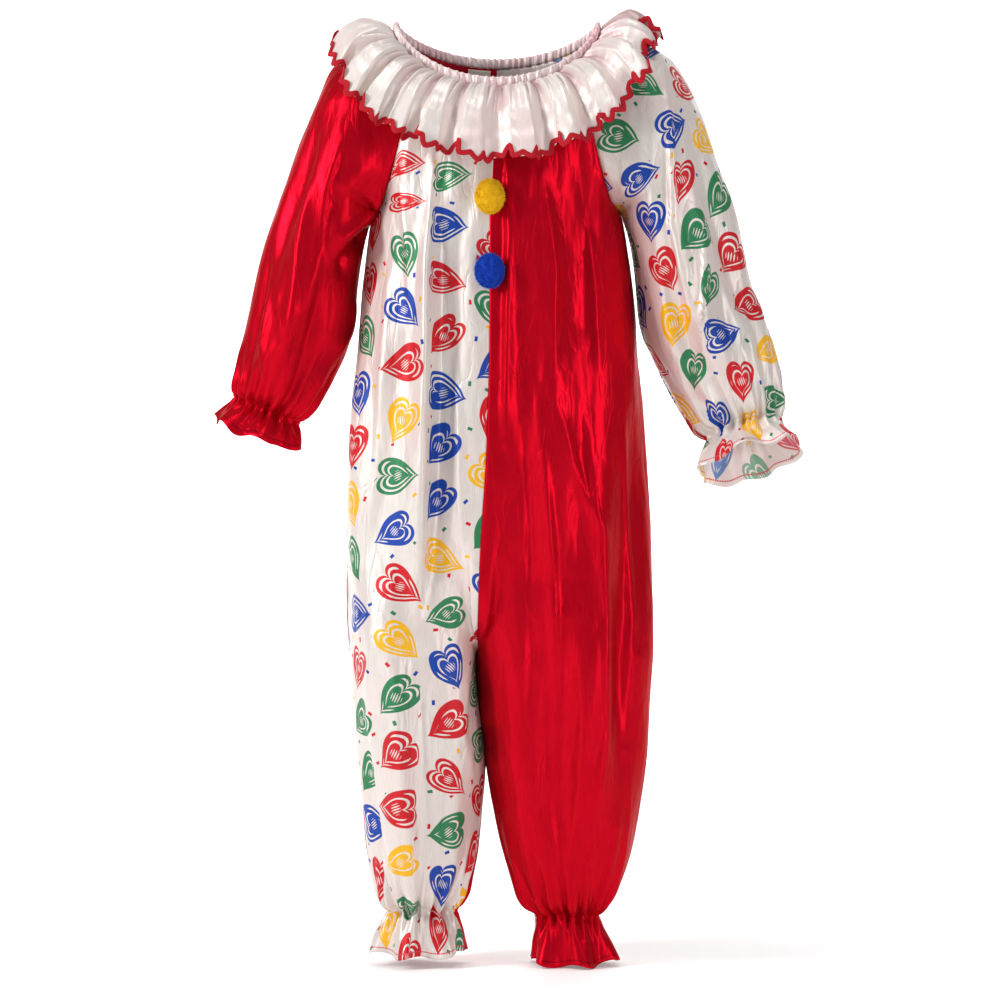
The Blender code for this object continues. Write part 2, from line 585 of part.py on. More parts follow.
def neck_label(material, collection):
    """A blank label that hangs from the casing inside the right back: that panel's points, moved in."""
    rows = between(body_stations("right", 1), LABEL_ROWS)
    inward = -outward(rows, np.array(CHEST))
    x = rows[:, :, 0]
    lines = []
    for row, normal, at in zip(rows + inward * (WALL + LABEL_GAP), inward, x):
        columns = [int(np.argmin(np.abs(at - place))) for place in LABEL_X]
        lines.append(row[columns])
    inside = [CHEST] * len(lines)
    return sheet("neck_label", lines, inside, material, collection)


def neck_casing(material, collection):
    """A tube of gathered satin round the neck's elastic."""
    profile = ((1.0, -0.5), (1.0, 0.5), (0.0, 1.0), (-1.0, 0.5), (-1.0, -0.5), (0.0, -1.0))
    count = 2 * CASING_WAVES
    mesh = bmesh.new()
    lines = []
    for out, up in profile:
        line = []
        for k in range(count):
            puff = CASING_PUFF * (1 if k % 2 else -1)
            sideways = CASING_HALF_WIDTH * out + puff * np.sign(out)
            point = neck_ring(360 * k / count, sideways, CASING_HALF_HEIGHT * up)
            line.append(mesh.verts.new(point * MM))
        lines.append(line)
    for upper, lower in zip(lines, [*lines[1:], lines[0]]):
        zipped(mesh, upper, lower, True)
    bmesh.ops.recalc_face_normals(mesh, faces=mesh.faces)
    return placed("neck_casing", mesh, material, collection)


def ruffle_edge(degrees):
    """The ruffle's lower edge without its waves."""
    table = np.array([*RUFFLE_EDGE, (360.0, *RUFFLE_EDGE[0][1:])])
    step = 360 / len(RUFFLE_EDGE)
    k = int(degrees % 360 // step)
    t = (degrees % 360 - k * step) / step
    p0, p1, p2, p3 = (table[(k + i) % len(RUFFLE_EDGE), 1:] for i in (-1, 0, 1, 2))
    square, cube = 2 * p0 - 5 * p1 + 4 * p2 - p3, 3 * p1 - p0 - 3 * p2 + p3
    return 0.5 * (2 * p1 + (p2 - p0) * t + square * t**2 + cube * t**3)


def ruffle_rows(count, shares):
    """Rows of the ruffle from the casing out to its edge, waves included."""
    rows = []
    turns = np.arange(count) / count
    for share in shares:
        row = []
        for turn in turns:
            degrees = 360 * turn
            top = neck_ring(degrees, COLLAR_TOP_OUT, -COLLAR_TOP_DROP)
            edge = ruffle_edge(degrees)
            away = edge - top
            away[2] = 0
            rise = COLLAR_RISE + COLLAR_RISE_FRONT_BACK * cos(radians(degrees)) ** 2
            shoulder = top + away * 0.4 + np.array([0, 0, rise])
            bend = edge + np.array([0, 0, COLLAR_BEND]) - away * 0.04
            near, far = 1 - share, share
            over = near**3 * top + 3 * near**2 * far * shoulder
            row.append(over + 3 * near * far**2 * bend + far**3 * edge)
        rows.append(row)
    rows = np.array(rows)
    closed = np.concatenate([rows[:, -1:], rows, rows[:, :1]], axis=1)
    normal = np.cross(np.gradient(closed, axis=1), np.gradient(closed, axis=0))[:, 1:-1]
    normal /= np.linalg.norm(normal, axis=2, keepdims=True)
    normal *= np.sign(normal[len(rows) // 2, :, 2].mean())
    wander = 1.6 * np.sin(tau * turns * 3) + 0.9 * np.sin(tau * turns * 5 + 1)
    wave = np.cos(tau * COLLAR_WAVES * turns + wander)
    wave *= 0.8 + 0.2 * np.sin(tau * turns * 4 + 2)
    height = np.array([COLLAR_WAVE_TOP + COLLAR_WAVE_EDGE * share**1.2 for share in shares])
    return rows + normal * (wave[None, :] * height[:, None])[:, :, None]


def collar_ruffle(material, collection):
    rows = ruffle_rows(COLLAR_COLUMNS, COLLAR_SHARES)
    inside = [SHOULDERS] * len(rows)
    return sheet("collar_ruffle", rows, inside, material, collection, closed=True)


def rickrack(material, collection):
    """Zigzag braid on the ruffle's edge, made from the ruffle's own points moved out."""
    rows = ruffle_rows(COLLAR_COLUMNS, COLLAR_SHARES[-2:])
    count = rows.shape[1]
    down = rows[1] - rows[0]
    down /= np.linalg.norm(down, axis=1, keepdims=True)
    facet = np.cross(np.roll(rows[1], -1, axis=0) - rows[1], down + np.roll(down, -1, axis=0))
    facet /= np.linalg.norm(facet, axis=1, keepdims=True)
    facet *= np.sign(np.einsum("ij,ij->i", facet, rows[1] - np.array(CHEST)).mean())
    normal = facet + np.roll(facet, 1, axis=0)
    normal /= np.maximum(np.einsum("ij,ij->i", normal, facet), 0.6)[:, None]
    steps = 2 * RICKRACK_PITCH_COUNT
    mesh = bmesh.new()
    corners = ((-1, RICKRACK_LIFT), (1, RICKRACK_LIFT), (0, RICKRACK_LIFT + WALL))
    lines = [[] for _ in corners]
    for k in range(steps):
        place = k * count / steps
        low, part = int(place), place - int(place)
        high = (low + 1) % count
        edge = rows[1][low] * (1 - part) + rows[1][high] * part
        n = facet[low] if part else normal[low]
        d = down[low] * (1 - part) + down[high] * part
        sway = RICKRACK_AMPLITUDE * (1 if k % 2 else -1) - RICKRACK_UP
        for line, (across, lift) in zip(lines, corners):
            point = edge + d * (sway + RICKRACK_HALF_WIDTH * across) + n * lift
            line.append(mesh.verts.new(point * MM))
    for upper, lower in zip(lines, [*lines[1:], lines[0]]):
        zipped(mesh, upper, lower, True)
    bmesh.ops.recalc_face_normals(mesh, faces=mesh.faces)
    return placed("rickrack", mesh, material, collection)


def pompom(name, z, material, collection):
    """A ball of short locks on the centre seam: every lock is a three-sided point on the ball's core."""
    mesh = bmesh.new()
    bmesh.ops.create_icosphere(mesh, subdivisions=2, radius=1.0)
    bmesh.ops.poke(mesh, faces=mesh.faces, offset=POMPOM_LOCK / POMPOM_HALF_WIDTH, center_mode="MEAN")
    for vert in mesh.verts:
        x, y, z_share = vert.co
        depth = POMPOM_HALF_DEPTH * min(y, POMPOM_FLAT)
        vert.co = (POMPOM_HALF_WIDTH * x * MM, depth * MM, POMPOM_HALF_HEIGHT * z_share * MM)
    bmesh.ops.translate(mesh, verts=mesh.verts, vec=(POMPOM_X * MM, -POMPOM_START * MM, z * MM))
    return placed(name, mesh, material, collection)


def seat(pompom_piece):
    """Moves a pompom back until it lies SEAM in front of the two front panels."""
    trees = []
    for side in SIDES:
        mesh = bmesh.new()
        mesh.from_mesh(bpy.data.objects[f"front_{side}"].data)
        trees.append(BVHTree.FromBMesh(mesh))
        mesh.free()
    gaps = []
    for vert in pompom_piece.data.vertices:
        for tree in trees:
            hit = tree.ray_cast(Vector((vert.co.x, -1.0, vert.co.z)), Vector((0, 1, 0)))[0]
            if hit:
                gaps.append(hit.y - vert.co.y)
    move = min(gaps) - SEAM * MM
    for vert in pompom_piece.data.vertices:
        vert.co.y += move


def build():
    for thing in list(bpy.data.objects):
        bpy.data.objects.remove(thing, do_unlink=True)
    collection = bpy.data.collections.new("clown_jumpsuit")
    bpy.context.scene.collection.children.link(collection)
    red = finish("red_satin", RED_SATIN, 0.35)
    heart_print = finish("heart_print_satin", PRINT_SATIN, 0.4)
    white = finish("white_satin", WHITE_SATIN, 0.4)
    braid = finish("red_rickrack_braid", BRAID_RED, 0.8)
    body_panel("front", "right", heart_print, collection)
    body_panel("front", "left", red, collection)
    body_panel("back", "right", red, collection)
    body_panel("back", "left", heart_print, collection)
    sleeve("right", red, collection)
    sleeve("left", heart_print, collection)
    neck_casing(white, collection)
    neck_label(white, collection)
    collar_ruffle(white, collection)
    rickrack(braid, collection)
    for name, z, colour in POMPOMS:
        seat(pompom(name, z, finish(name + "_fluff", colour, 0.95), collection))


build()
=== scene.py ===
"""The looks of a child's harlequin clown jumpsuit, filled out as if worn.

Tables are in millimetres in the CAD frame; pieces are made in metres. +Z is up, the front faces -Y and +X is
the wearer's left. Each cut piece is a fine grid laid through the same sections as its CAD solid, with folds,
gathers and creases added.
"""

from math import cos, pi, radians, sin, tau

import bmesh
import bpy
import numpy as np
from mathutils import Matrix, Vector, noise


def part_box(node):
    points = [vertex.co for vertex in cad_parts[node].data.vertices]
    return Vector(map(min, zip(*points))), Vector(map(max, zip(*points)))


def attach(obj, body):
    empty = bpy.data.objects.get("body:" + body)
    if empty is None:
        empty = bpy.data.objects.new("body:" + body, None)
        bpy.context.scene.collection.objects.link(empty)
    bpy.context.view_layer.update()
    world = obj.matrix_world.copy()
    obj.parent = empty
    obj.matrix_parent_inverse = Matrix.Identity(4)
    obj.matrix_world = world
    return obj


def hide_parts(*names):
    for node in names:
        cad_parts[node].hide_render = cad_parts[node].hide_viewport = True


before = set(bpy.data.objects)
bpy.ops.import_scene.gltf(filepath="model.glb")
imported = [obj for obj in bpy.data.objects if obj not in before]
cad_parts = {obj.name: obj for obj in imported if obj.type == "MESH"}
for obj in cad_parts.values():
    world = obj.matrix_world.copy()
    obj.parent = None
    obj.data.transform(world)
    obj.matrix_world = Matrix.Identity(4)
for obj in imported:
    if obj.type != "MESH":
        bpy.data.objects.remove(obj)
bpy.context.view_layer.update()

MM = 0.001
NECK_HALF_WIDTH = 107.0
NECK_HALF_DEPTH = 62.0
NECK_SIDE_Z, NECK_FRONT_Z, NECK_BACK_Z = 25.0, -40.0, -7.0
NECK_FRONT_POWER, NECK_BACK_POWER = 1.3, 1.5
RAGLAN_AT = 45.0  # degrees round the neck from its side to a raglan seam
CASING_HALF_HEIGHT, CASING_HALF_WIDTH = 5.2, 2.3
PANEL_TOP_OUT, PANEL_TOP_DROP = 0.6, CASING_HALF_HEIGHT + 0.8
COLLAR_WAVES, COLLAR_TOP_OUT, COLLAR_TOP_DROP = 23, 3.4, 3.6
CROTCH_Z, RISE_CURVE_TOP_Z = -640.0, -565.0
EASE_TOP_Z, EASE_BOTTOM_Z, EASE_ROUNDS = -530.0, -700.0, 30
TORSO_SQUARE, OUTER_LEG_SQUARE = 2.5, 2.2  # superellipses: 2 is an ellipse, more is fuller
LEG_GAP = 0.1  # between the two legs where they lie against each other
UNDERARM_DEPTH = 69.0  # half the depth of a sleeve where the raglan seams meet

SIDES = {"right": -1, "left": 1}
FACES = {"front": -1, "back": 1}

# Raglan stations, from the underarm to the neck. seam_x and seam_depth are the raglan seam's distance from
# the middle and from the side plane, start is the angle below the horizontal where the sleeve's arch begins.
RAGLAN_COLUMNS = (
    *("seam_x", "seam_depth", "front_z", "back_z"),
    *("start", "centre_depth", "front_mid", "back_mid"),
)
RAGLAN = (
    (131, 0, -175, -175, -90, 84, -175, -175),
    (120.5, 33, -164, -163, -62, 84, -165, -164),
    (112.5, 51, -141, -138, -45, 83.5, -147, -141),
    (105, 59, -113, -108, -32, 82, -124, -112),
    (97.5, 59.5, -84, -74, -22, 78, -98, -81),
    (88, 54, -53, -38, -12, 71, -72, -48),
)

# Each sleeve's crest beside the raglan stations: x, z.
CREST = {
    "right": ((-225, -148), (-216, -122), (-203, -88), (-188, -52), (-169, -18), (-140, 6)),
    "left": ((236, -131), (227, -97), (216, -64), (201, -33), (179, -5), (143, 5)),
}

# Sleeve sections below the underarm: the crest's and the underside's x and z, half the depth, how far the
# middle lies forward, how far the front is tipped up in degrees, and the height of the gathers.
SLEEVE_COLUMNS = ("crest_x", "crest_z", "under_x", "under_z", "depth", "forward", "tip", "gather")
SLEEVE = {
    "right": (
        (-238, -186, -142, -213, 67, 0, 0, 0),
        (-251, -228, -147.5, -249, 65, 0, 0, 0),
        (-261, -261, -150.5, -281, 62, 0, 0, 0),
        (-269.5, -298, -158, -313, 58, 0, 0, 0),
        (-275.5, -328, -174, -345, 52, 0, 0, 0.8),
        (-277.5, -348, -192, -374, 43, 1, -1, 1.8),
        (-277, -360, -205, -389, 34, 2, -2, 2.3),
        (-276.5, -367, -211.5, -396, 29, 3, -3, 2.4),
        (-281, -374, -209.5, -404, 31, 4, -4, 3),
        (-291, -382, -208.5, -414, 38, 6, -6, 4.4),
        (-299.5, -391, -210, -423, 44, 8, -8, 5.4),
    ),
    "left": (
        (248.5, -180, 143.5, -213, 67, 0, 0, 0),
        (260, -222, 149.5, -250, 66, 0, 0, 0),
        (270.5, -256, 153, -288, 63, 0, 2, 0),
        (284, -289, 164.5, -325, 60, 2, 5, 0),
        (295, -317, 178, -353, 55, 5, 9, 0.8),
        (300.5, -346, 194, -381, 47, 9, 14, 1.8),
        (301, -370, 212, -403, 38, 14, 18, 2.5),
        (298, -390, 224, -414, 31, 18, 20, 2.6),
        (302, -401, 220, -424, 34, 22, 21, 3.4),
        (313, -413, 214, -438, 43, 28, 22, 5),
        (322, -424, 213, -452, 51, 34, 23, 6.2),
    ),
}

# Body and leg sections below the underarm. side is the outer edge's x, inner the centre seam's or inner leg's
# x, square how flat the inner leg is, inseam where the front panel ends round the leg in degrees.
BODY_COLUMNS = ("z", "side", "inner", "depth", "square", "inseam", "gather")
BODY = {
    "right": (
        (-215, -136.5, -7.5, 86, 2.2, 180, 0),
        (-265, -142.5, -7.5, 88, 2.2, 180, 0),
        (-325, -145.5, -8, 89, 2.2, 180, 0),
        (-375, -151, -9.5, 90, 2.2, 180, 0),
        (-435, -155, -11.5, 90, 2.2, 180, 0),
        (-520, -159, -17, 89, 2.2, 180, 0),
        (-565, -159, -19, 88, 4.5, 180, 0),
        (-603, -158.5, -20, 86.5, 4.5, 180, 0),
        (-624, -158, -20.5, 85.5, 4.5, 180, 0),
        (-635, -157.8, -20.5, 85, 4.5, 180, 0),
        (-640, -157.7, -20.4, 84.8, 4.5, 180, 0),
        (-690, -155, -17.5, 83, 4, 180, 0),
        (-750, -149, -13, 80, 3, 178, 0),
        (-808, -141.5, -16.5, 75.5, 2.3, 174, 0),
        (-845, -137, -20, 71, 2.1, 170, 0.6),
        (-870, -132.5, -25, 64, 2, 168, 1.2),
        (-890, -126.5, -32, 55, 2, 166, 1.8),
        (-903, -120.5, -40, 44, 2, 165, 2.1),
        (-912, -115.5, -45, 35, 2, 165, 2.2),
        (-922, -119.5, -41, 38, 2, 165, 2.7),
        (-940, -127, -34.5, 43, 2, 165, 3.9),
        (-958, -129, -32.5, 45.5, 2, 165, 5),
    ),
    "left": (
        (-215, 138, -7.5, 86, 2.2, 180, 0),
        (-265, 144, -7.5, 88, 2.2, 180, 0),
        (-325, 148.6, -8, 89, 2.2, 180, 0),
        (-375, 154.5, -9.5, 90, 2.2, 180, 0),
        (-435, 159, -11.5, 90, 2.2, 180, 0),
        (-520, 163, -17, 89, 2.2, 180, 0),
        (-565, 164, -19, 88, 4.5, 180, 0),
        (-603, 164, -20, 86.5, 4.5, 180, 0),
        (-624, 164, -20.5, 85.5, 4.5, 180, 0),
        (-635, 164, -20.5, 85, 4.5, 180, 0),
        (-640, 164, -20.4, 84.8, 4.5, 180, 0),
        (-690, 163.5, -17.5, 83, 4, 180, 0),
        (-750, 157.5, -12, 80, 3, 180, 0),
        (-796, 151.5, -5.5, 76.5, 2.4, 180, 0),
        (-835, 144.5, 2, 73, 2.1, 179, 0.5),
        (-865, 136, 10.5, 66, 2, 178, 1.1),
        (-888, 126.5, 19, 57, 2, 176, 1.7),
        (-905, 116, 30, 46, 2, 174, 2.1),
        (-917, 107.5, 43, 35, 2, 173, 2.2),
        (-927, 109.5, 41.5, 35.5, 2, 173, 2.7),
        (-947, 118, 37, 40, 2, 173, 3.9),
        (-967, 124, 35.5, 45, 2, 173, 5),
    ),
}

# Large soft folds: where across the piece each starts and ends, 0 at its first edge and 1 at its last, its
# first and last z, its half width and its height. A negative height is a trough.
FOLD_COLUMNS = ("start", "end", "top", "bottom", "half_width", "height")
FOLDS = {
    "front_right": (
        (0.70, 0.62, -120, -640, 18.7, 7.5),
        (0.80, 0.74, -120, -600, 17, -6),
        (0.25, 0.32, -240, -700, 22.1, 6),
        (0.45, 0.40, -560, -890, 20.4, 7.5),
        (0.20, 0.26, -720, -900, 17, -6),
    ),
    "front_left": (
        (0.75, 0.62, -130, -560, 20.4, 6.8),
        (0.45, 0.40, -300, -860, 22.1, 8.2),
        (0.25, 0.28, -380, -820, 20.4, -6.8),
        (0.58, 0.50, -600, -900, 18.7, -6.8),
    ),
    "back_right": (
        (0.68, 0.60, -150, -620, 20.4, 7.5),
        (0.35, 0.38, -260, -860, 22.1, -6.8),
        (0.50, 0.46, -640, -900, 18.7, 6.8),
    ),
    "back_left": (
        (0.66, 0.58, -150, -600, 20.4, 7.5),
        (0.35, 0.40, -300, -880, 22.1, -6.8),
        (0.48, 0.44, -620, -900, 18.7, 6.8),
    ),
    "sleeve_right": (
        (0.16, 0.30, -130, -375, 15.3, 6.8),
        (0.32, 0.40, -60, -370, 15.3, -6),
        (0.70, 0.62, -70, -370, 17, 6.8),
    ),
    "sleeve_left": (
        (0.18, 0.28, -130, -400, 15.3, 6.8),
        (0.34, 0.40, -60, -390, 15.3, -6.8),
        (0.72, 0.64, -70, -390, 17, 6.8),
    ),
}

# The ruffle's lower edge at even places, from the wearer's left side round over the front: x, y and z.
RUFFLE_EDGE = (
    (159, 0, 19),
    (155, -62, -21),
    (121, -100, -75),
    (63, -109, -110),
    (-4, -116, -122),
    (-70, -110, -108),
    (-127, -97, -78),
    (-156, -57, -34),
    (-166, 0, 5),
    (-151, 54, -14),
    (-119, 88, -54),
    (-64, 105, -76),
    (-3, 110, -84),
    (58, 105, -76),
    (112, 88, -54),
    (149, 54, -4),
)

# The scene's own values.
ANKLE_WAVES, WRIST_WAVES = 9, 16  # to a leg panel, and round a wrist
# The fine pleats above an elastic: how many, their reach up the cloth and their height.
ANKLE_PLEATS, WRIST_PLEATS = (10.8, 64.0, 4.4), (19.2, 50.0, 3.4)
PANEL_FOLDS, SLEEVE_FOLDS = 1.6, 1.5  # how much deeper the folds are here than in the solids
# How near a seam the folds and the gathers fade, and how far the way its edge moves reaches into the cloth.
SEAM_FADE, GATHER_FADE, EDGE_REACH = 14.0, 5.0, 8.0
# The ruffle stands up on its way out, more at the sides, and again before its edge. Then its waves' height at
# the casing and what is added at its edge, its small gathers, its second waves, and its edge's dips and curl.
RUFFLE_RISE, RUFFLE_SIDE_RISE, RUFFLE_BEND_RISE = 2.5, 17.0, 17.0
RUFFLE_TOP_WAVE, RUFFLE_EDGE_WAVE, RUFFLE_GATHERS, RUFFLE_SECOND_WAVE = 1.6, 15.0, 4.6, 1.8
RUFFLE_DIPS, RUFFLE_CURL = (11.5, 6.5), 9.5
ZIGZAGS, ZIGZAG_STEPS, ZIGZAG_SWAY, BRAID_HALF_WIDTH = 114, 12, 4.0, 2.9
CASING_PLEATS = 78
FIBRES = 3200
FIBRE_LENGTHS, FIBRE_HALF_WIDTHS = (1.6, 2.9), (0.22, 0.34)
LABEL_FROM, LABEL_TO, LABEL_DROP, LABEL_IN, LABEL_MESH = -31, -7, 26, 2.0, (24, 28)
HEART_PITCH, HEART_REACH = (56.0, 58.0), 21.0
HEART_RINGS = ((0.79, 0.052, 0.0), (0.54, 0.048, 5.0))  # radius, half width, gaps
# The brushed hatching in each heart: how close its strokes are, their slant, half width and flattening.
HATCH_TURNS, HATCH_LEAN, HATCH_REACH, HATCH_FLATTEN = 46.0, 0.5, 0.32, 1.3
# Paper chips: their cells, half sizes, the share of cells that has one, and how far out of a heart they stay.
CHIP_PITCH, CHIP_HALF, CHIP_SHARE, CHIP_CLEAR = (23.0, 23.0), (2.6, 1.6), 0.62, 1.12
# The hem's stitches, in metres of cloth: how far up, half a thread, from one to the next, and the share sewn.
STITCH_UP, STITCH_HALF, STITCH_PITCH, STITCH_SHARE = 0.0055, 0.0007, 0.0028, 0.8
PIECES = ("front_right", "front_left", "back_right", "back_left", "sleeve_right", "sleeve_left")
SEEDS = dict(zip(PIECES, (1, 2, 3, 4, 5, 6)))

# Ripples and crumples of the cloth: height, the length of a wave along x, y and z, and a shift of its noise.
PANEL_RIPPLES = ((3.4, (38, 60, 170), 0), (0.7, (17, 26, 80), 9), (0.2, (9, 12, 30), 5))
SLEEVE_RIPPLES = ((3.0, (40, 46, 110), 0), (0.7, (17, 20, 50), 9), (0.2, (9, 12, 24), 5))
COLLAR_RIPPLES = ((2.4, (26, 26, 26), 5), (1.0, (12, 12, 12), 9))
SEAM_PUCKERS = ((0.45, (30, 30, 9), 3),)

# Creases, listed one by one: the face (-1 front, 1 back), half width, height, lean, and a line of x, z pairs.
CREASES = {
    "front_right": (
        (-1, 7, 7, -0.45, ((-66, -128), (-70, -230), (-71, -340), (-73, -450), (-76, -520), (-80, -600))),
        (-1, 6, -5, 0.3, ((-56, -140), (-58, -260), (-61, -380), (-64, -500), (-70, -590))),
        (-1, 6, 5, -0.4, ((-23, -618), (-32, -680), (-35, -715), (-22, -775))),
        (-1, 7, -4, 0.3, ((-14, -600), (-22, -660), (-26, -720), (-12, -760))),
        (-1, 9, 4, 0.3, ((-112, -240), (-116, -330), (-122, -430), (-128, -500))),
        (-1, 8, 4.5, -0.3, ((-100, -640), (-98, -720), (-92, -790), (-86, -860))),
        (-1, 9, 4, 0.2, ((-128, -620), (-132, -700), (-126, -790), (-112, -860))),
        (-1, 6, 3, 0.2, ((-44, -330), (-40, -420), (-38, -520))),
        (-1, 5, 2.6, 0.4, ((-100, -150), (-92, -220), (-90, -300))),
        (-1, 5, 2.4, 0, ((-60, -640), (-70, -700), (-66, -780), (-58, -850))),
        (1, 8, 6, 0.4, ((-60, -150), (-70, -300), (-74, -450), (-70, -600))),
        (1, 8, 5, -0.3, ((-110, -420), (-114, -600), (-104, -780))),
    ),
    "front_left": (
        (-1, 7, 6, 0.4, ((10, -120), (12, -200), (10, -300), (8, -420))),
        (-1, 8, 5, -0.3, ((40, -360), (48, -450), (58, -560), (62, -680), (60, -800))),
        (-1, 6, -4, 0, ((28, -400), (34, -500), (36, -640), (30, -760))),
        (-1, 8, 5, 0.4, ((90, -380), (98, -480), (110, -600), (112, -720), (98, -830))),
        (-1, 5, 3, -0.4, ((66, -390), (76, -430), (92, -480), (110, -520))),
        (-1, 6, 4, 0.3, ((130, -380), (136, -480), (144, -600), (136, -740))),
        (-1, 5, 3, 0.4, ((80, -620), (88, -700), (84, -780), (76, -860))),
        (-1, 6, 4, -0.3, ((52, -160), (60, -240), (58, -340))),
        (-1, 6, 3.4, 0.3, ((96, -190), (100, -260), (104, -340))),
        (-1, 5, 3, -0.3, ((20, -560), (26, -640), (28, -720))),
    ),
    "back_right": (
        (1, 8, 6, 0.4, ((-60, -150), (-68, -300), (-74, -450), (-78, -580))),
        (1, 7, -5, -0.2, ((-42, -150), (-46, -320), (-50, -480), (-60, -600))),
        (1, 8, 5, -0.3, ((-112, -320), (-118, -480), (-120, -640), (-110, -800))),
        (1, 6, 5, 0.4, ((-20, -600), (-40, -660), (-62, -700))),
        (1, 6, 4, 0.2, ((-80, -640), (-84, -740), (-78, -860))),
    ),
    "back_left": (
        (1, 8, 6, -0.4, ((56, -150), (64, -300), (70, -450), (74, -580))),
        (1, 7, -5, 0.2, ((36, -160), (42, -320), (46, -480), (56, -600))),
        (1, 8, 5, 0.3, ((110, -320), (118, -480), (124, -640), (112, -800))),
        (1, 6, 5, -0.4, ((16, -600), (36, -660), (60, -710))),
        (1, 6, 4, -0.2, ((84, -640), (88, -740), (82, -860))),
    ),
    "sleeve_right": (
        (-1, 10, 10, 0.4, ((-112, -150), (-140, -176), (-164, -200), (-170, -228))),
        (-1, 8, -9, -0.3, ((-116, -180), (-136, -196), (-158, -222), (-160, -250))),
        (-1, 6, 4.5, 0.3, ((-148, -262), (-158, -300), (-172, -330))),
        (-1, 7, 5, -0.3, ((-196, -150), (-206, -220), (-214, -290), (-224, -350))),
        (-1, 6, -4, 0.3, ((-176, -180), (-184, -240), (-196, -300), (-212, -350))),
        (-1, 6, 4, 0.3, ((-230, -190), (-240, -250), (-246, -310), (-244, -352))),
        (-1, 5, 3.4, -0.4, ((-160, -100), (-176, -150), (-184, -200))),
        (1, 7, 5, 0.3, ((-180, -130), (-196, -210), (-208, -300), (-220, -350))),
        (1, 7, 5, -0.3, ((-150, -170), (-168, -240), (-188, -320))),
    ),
    "sleeve_left": (
        (-1, 5.5, 7, 0.6, ((176, -60), (180, -130), (182, -187), (194, -249), (207, -296))),
        (-1, 5.5, 7, 0.6, ((213, -180), (214, -240), (214, -280), (216, -345))),
        (-1, 6, -5, -0.3, ((180, -150), (186, -210), (196, -290), (206, -360))),
        (-1, 7, 5, -0.3, ((166, -180), (172, -230), (180, -290), (194, -350))),
        (-1, 6, 4.5, 0.3, ((236, -120), (250, -200), (262, -280), (268, -350))),
        (-1, 6, -3.5, 0.2, ((222, -160), (232, -240), (244, -320), (250, -370))),
        (-1, 5, 3.4, -0.3, ((270, -250), (284, -310), (288, -350))),
        (1, 7, 5, 0.3, ((190, -130), (204, -220), (222, -310), (240, -370))),
        (1, 7, 5, -0.3, ((156, -180), (178, -260), (204, -340))),
    ),
}

# How high the floor is, where the print's grain line, the underarm and the waist are, and where the ankle's
# gathers begin.
FLOOR_Z = -970.5
GRAIN_X, UNDERARM_Z, WAIST_Z, GATHERS_FROM_Z = 75.0, -190.0, -330.0, -800.0
# Soft pleats that hide some of the print: the face, a line through x, z pairs, and how much they hide.
TUCKS = {
    "front_right": (
        (-1, ((-62, -120), (-66, -230), (-67, -340), (-69, -450), (-72, -520), (-76, -610)), 17),
    ),
    "sleeve_left": (
        (-1, ((180, -60), (184, -130), (186, -187), (198, -249), (211, -296)), 13),
        (-1, ((217, -180), (218, -240), (218, -280), (220, -345)), 12),
    ),
}

# How finely each piece is modelled: spans across and rows down.
PANEL_MESH, SLEEVE_MESH, COLLAR_MESH, CASING_MESH = (92, 300), (150, 150), (920, 42), (640, 20)
FINE = 93
CLOTH_WALL = 0.9  # a light satin with its seam allowances, drawn thick enough for both its sides

# The camera's sensor, its distance and the width it sees there; the middle of what it sees.
SENSOR, CAMERA_AWAY, VIEW_WIDTH, VIEW_X, VIEW_Z = 36.0, 4000.0, 1061.6, 3.2, -477.7
# Soft boxes, in metres: where each is, what it points at, its width and height, and its watts.
LIGHTS = (
    ("key", (-2.7, -1.4, 1.0), (0, 0, -0.45), (0.5, 1.7), 76),
    ("fill", (2.3, -2.2, 0.0), (0, 0, -0.5), (0.3, 1.8), 24),
    ("top", (0.2, -0.6, 2.2), (0, 0, -0.4), (1.0, 0.6), 22),
    ("back", (0.0, 3.2, 2.6), (0, 5.6, -0.6), (5.0, 1.0), 250),
)
# The backdrop, in metres: half its width, its near edge, where it curves up, the curve's radius and the wall.
SWEEP = (9.0, -6.0, 4.0, 1.6, 4.0)

INKS = {"red": "CA0017", "blue": "003DA0", "green": "267C4E", "yellow": "F2B414"}
PALE_INKS = {"red": "DC6A76", "blue": "6E8FC2", "green": "8AB49B", "yellow": "F3CE83"}
# Where each ink starts along a random number from 0 to 1.
HEART_STARTS = (("red", 0.0), ("blue", 0.28), ("green", 0.55), ("yellow", 0.82))
CHIP_STARTS = (("blue", 0.0), ("red", 0.3), ("yellow", 0.55), ("green", 0.8))


def named(columns, row):
    """A table's row by the names of its columns."""
    return dict(zip(columns, row))


def neck_ring(degrees, out=0.0, up=0.0):
    """A point of the neck's middle line, moved outwards and up; 0 is the wearer's left side, 90 the front."""
    c, s = cos(radians(degrees)), sin(radians(degrees))
    low, power = (NECK_FRONT_Z, NECK_FRONT_POWER) if s >= 0 else (NECK_BACK_Z, NECK_BACK_POWER)
    z = NECK_SIDE_Z - (NECK_SIDE_Z - low) * abs(s) ** power
    away = np.array([c / NECK_HALF_WIDTH, -s / NECK_HALF_DEPTH])
    away /= np.linalg.norm(away)
    return np.array([NECK_HALF_WIDTH * c + out * away[0], -NECK_HALF_DEPTH * s + out * away[1], z + up])


def run_along(points):
    """How far each point lies along the line through them all."""
    return np.concatenate([[0.0], np.cumsum(np.linalg.norm(np.diff(points, axis=0), axis=1))])


def run_down(rows):
    """How far each row lies down the cloth from the first."""
    return np.concatenate([[0.0], np.cumsum(np.linalg.norm(np.diff(rows, axis=0), axis=2).mean(axis=1))])


def widths(rows):
    """The width of the cloth at each row."""
    return np.linalg.norm(np.diff(rows, axis=1), axis=2).sum(axis=1)[:, None]


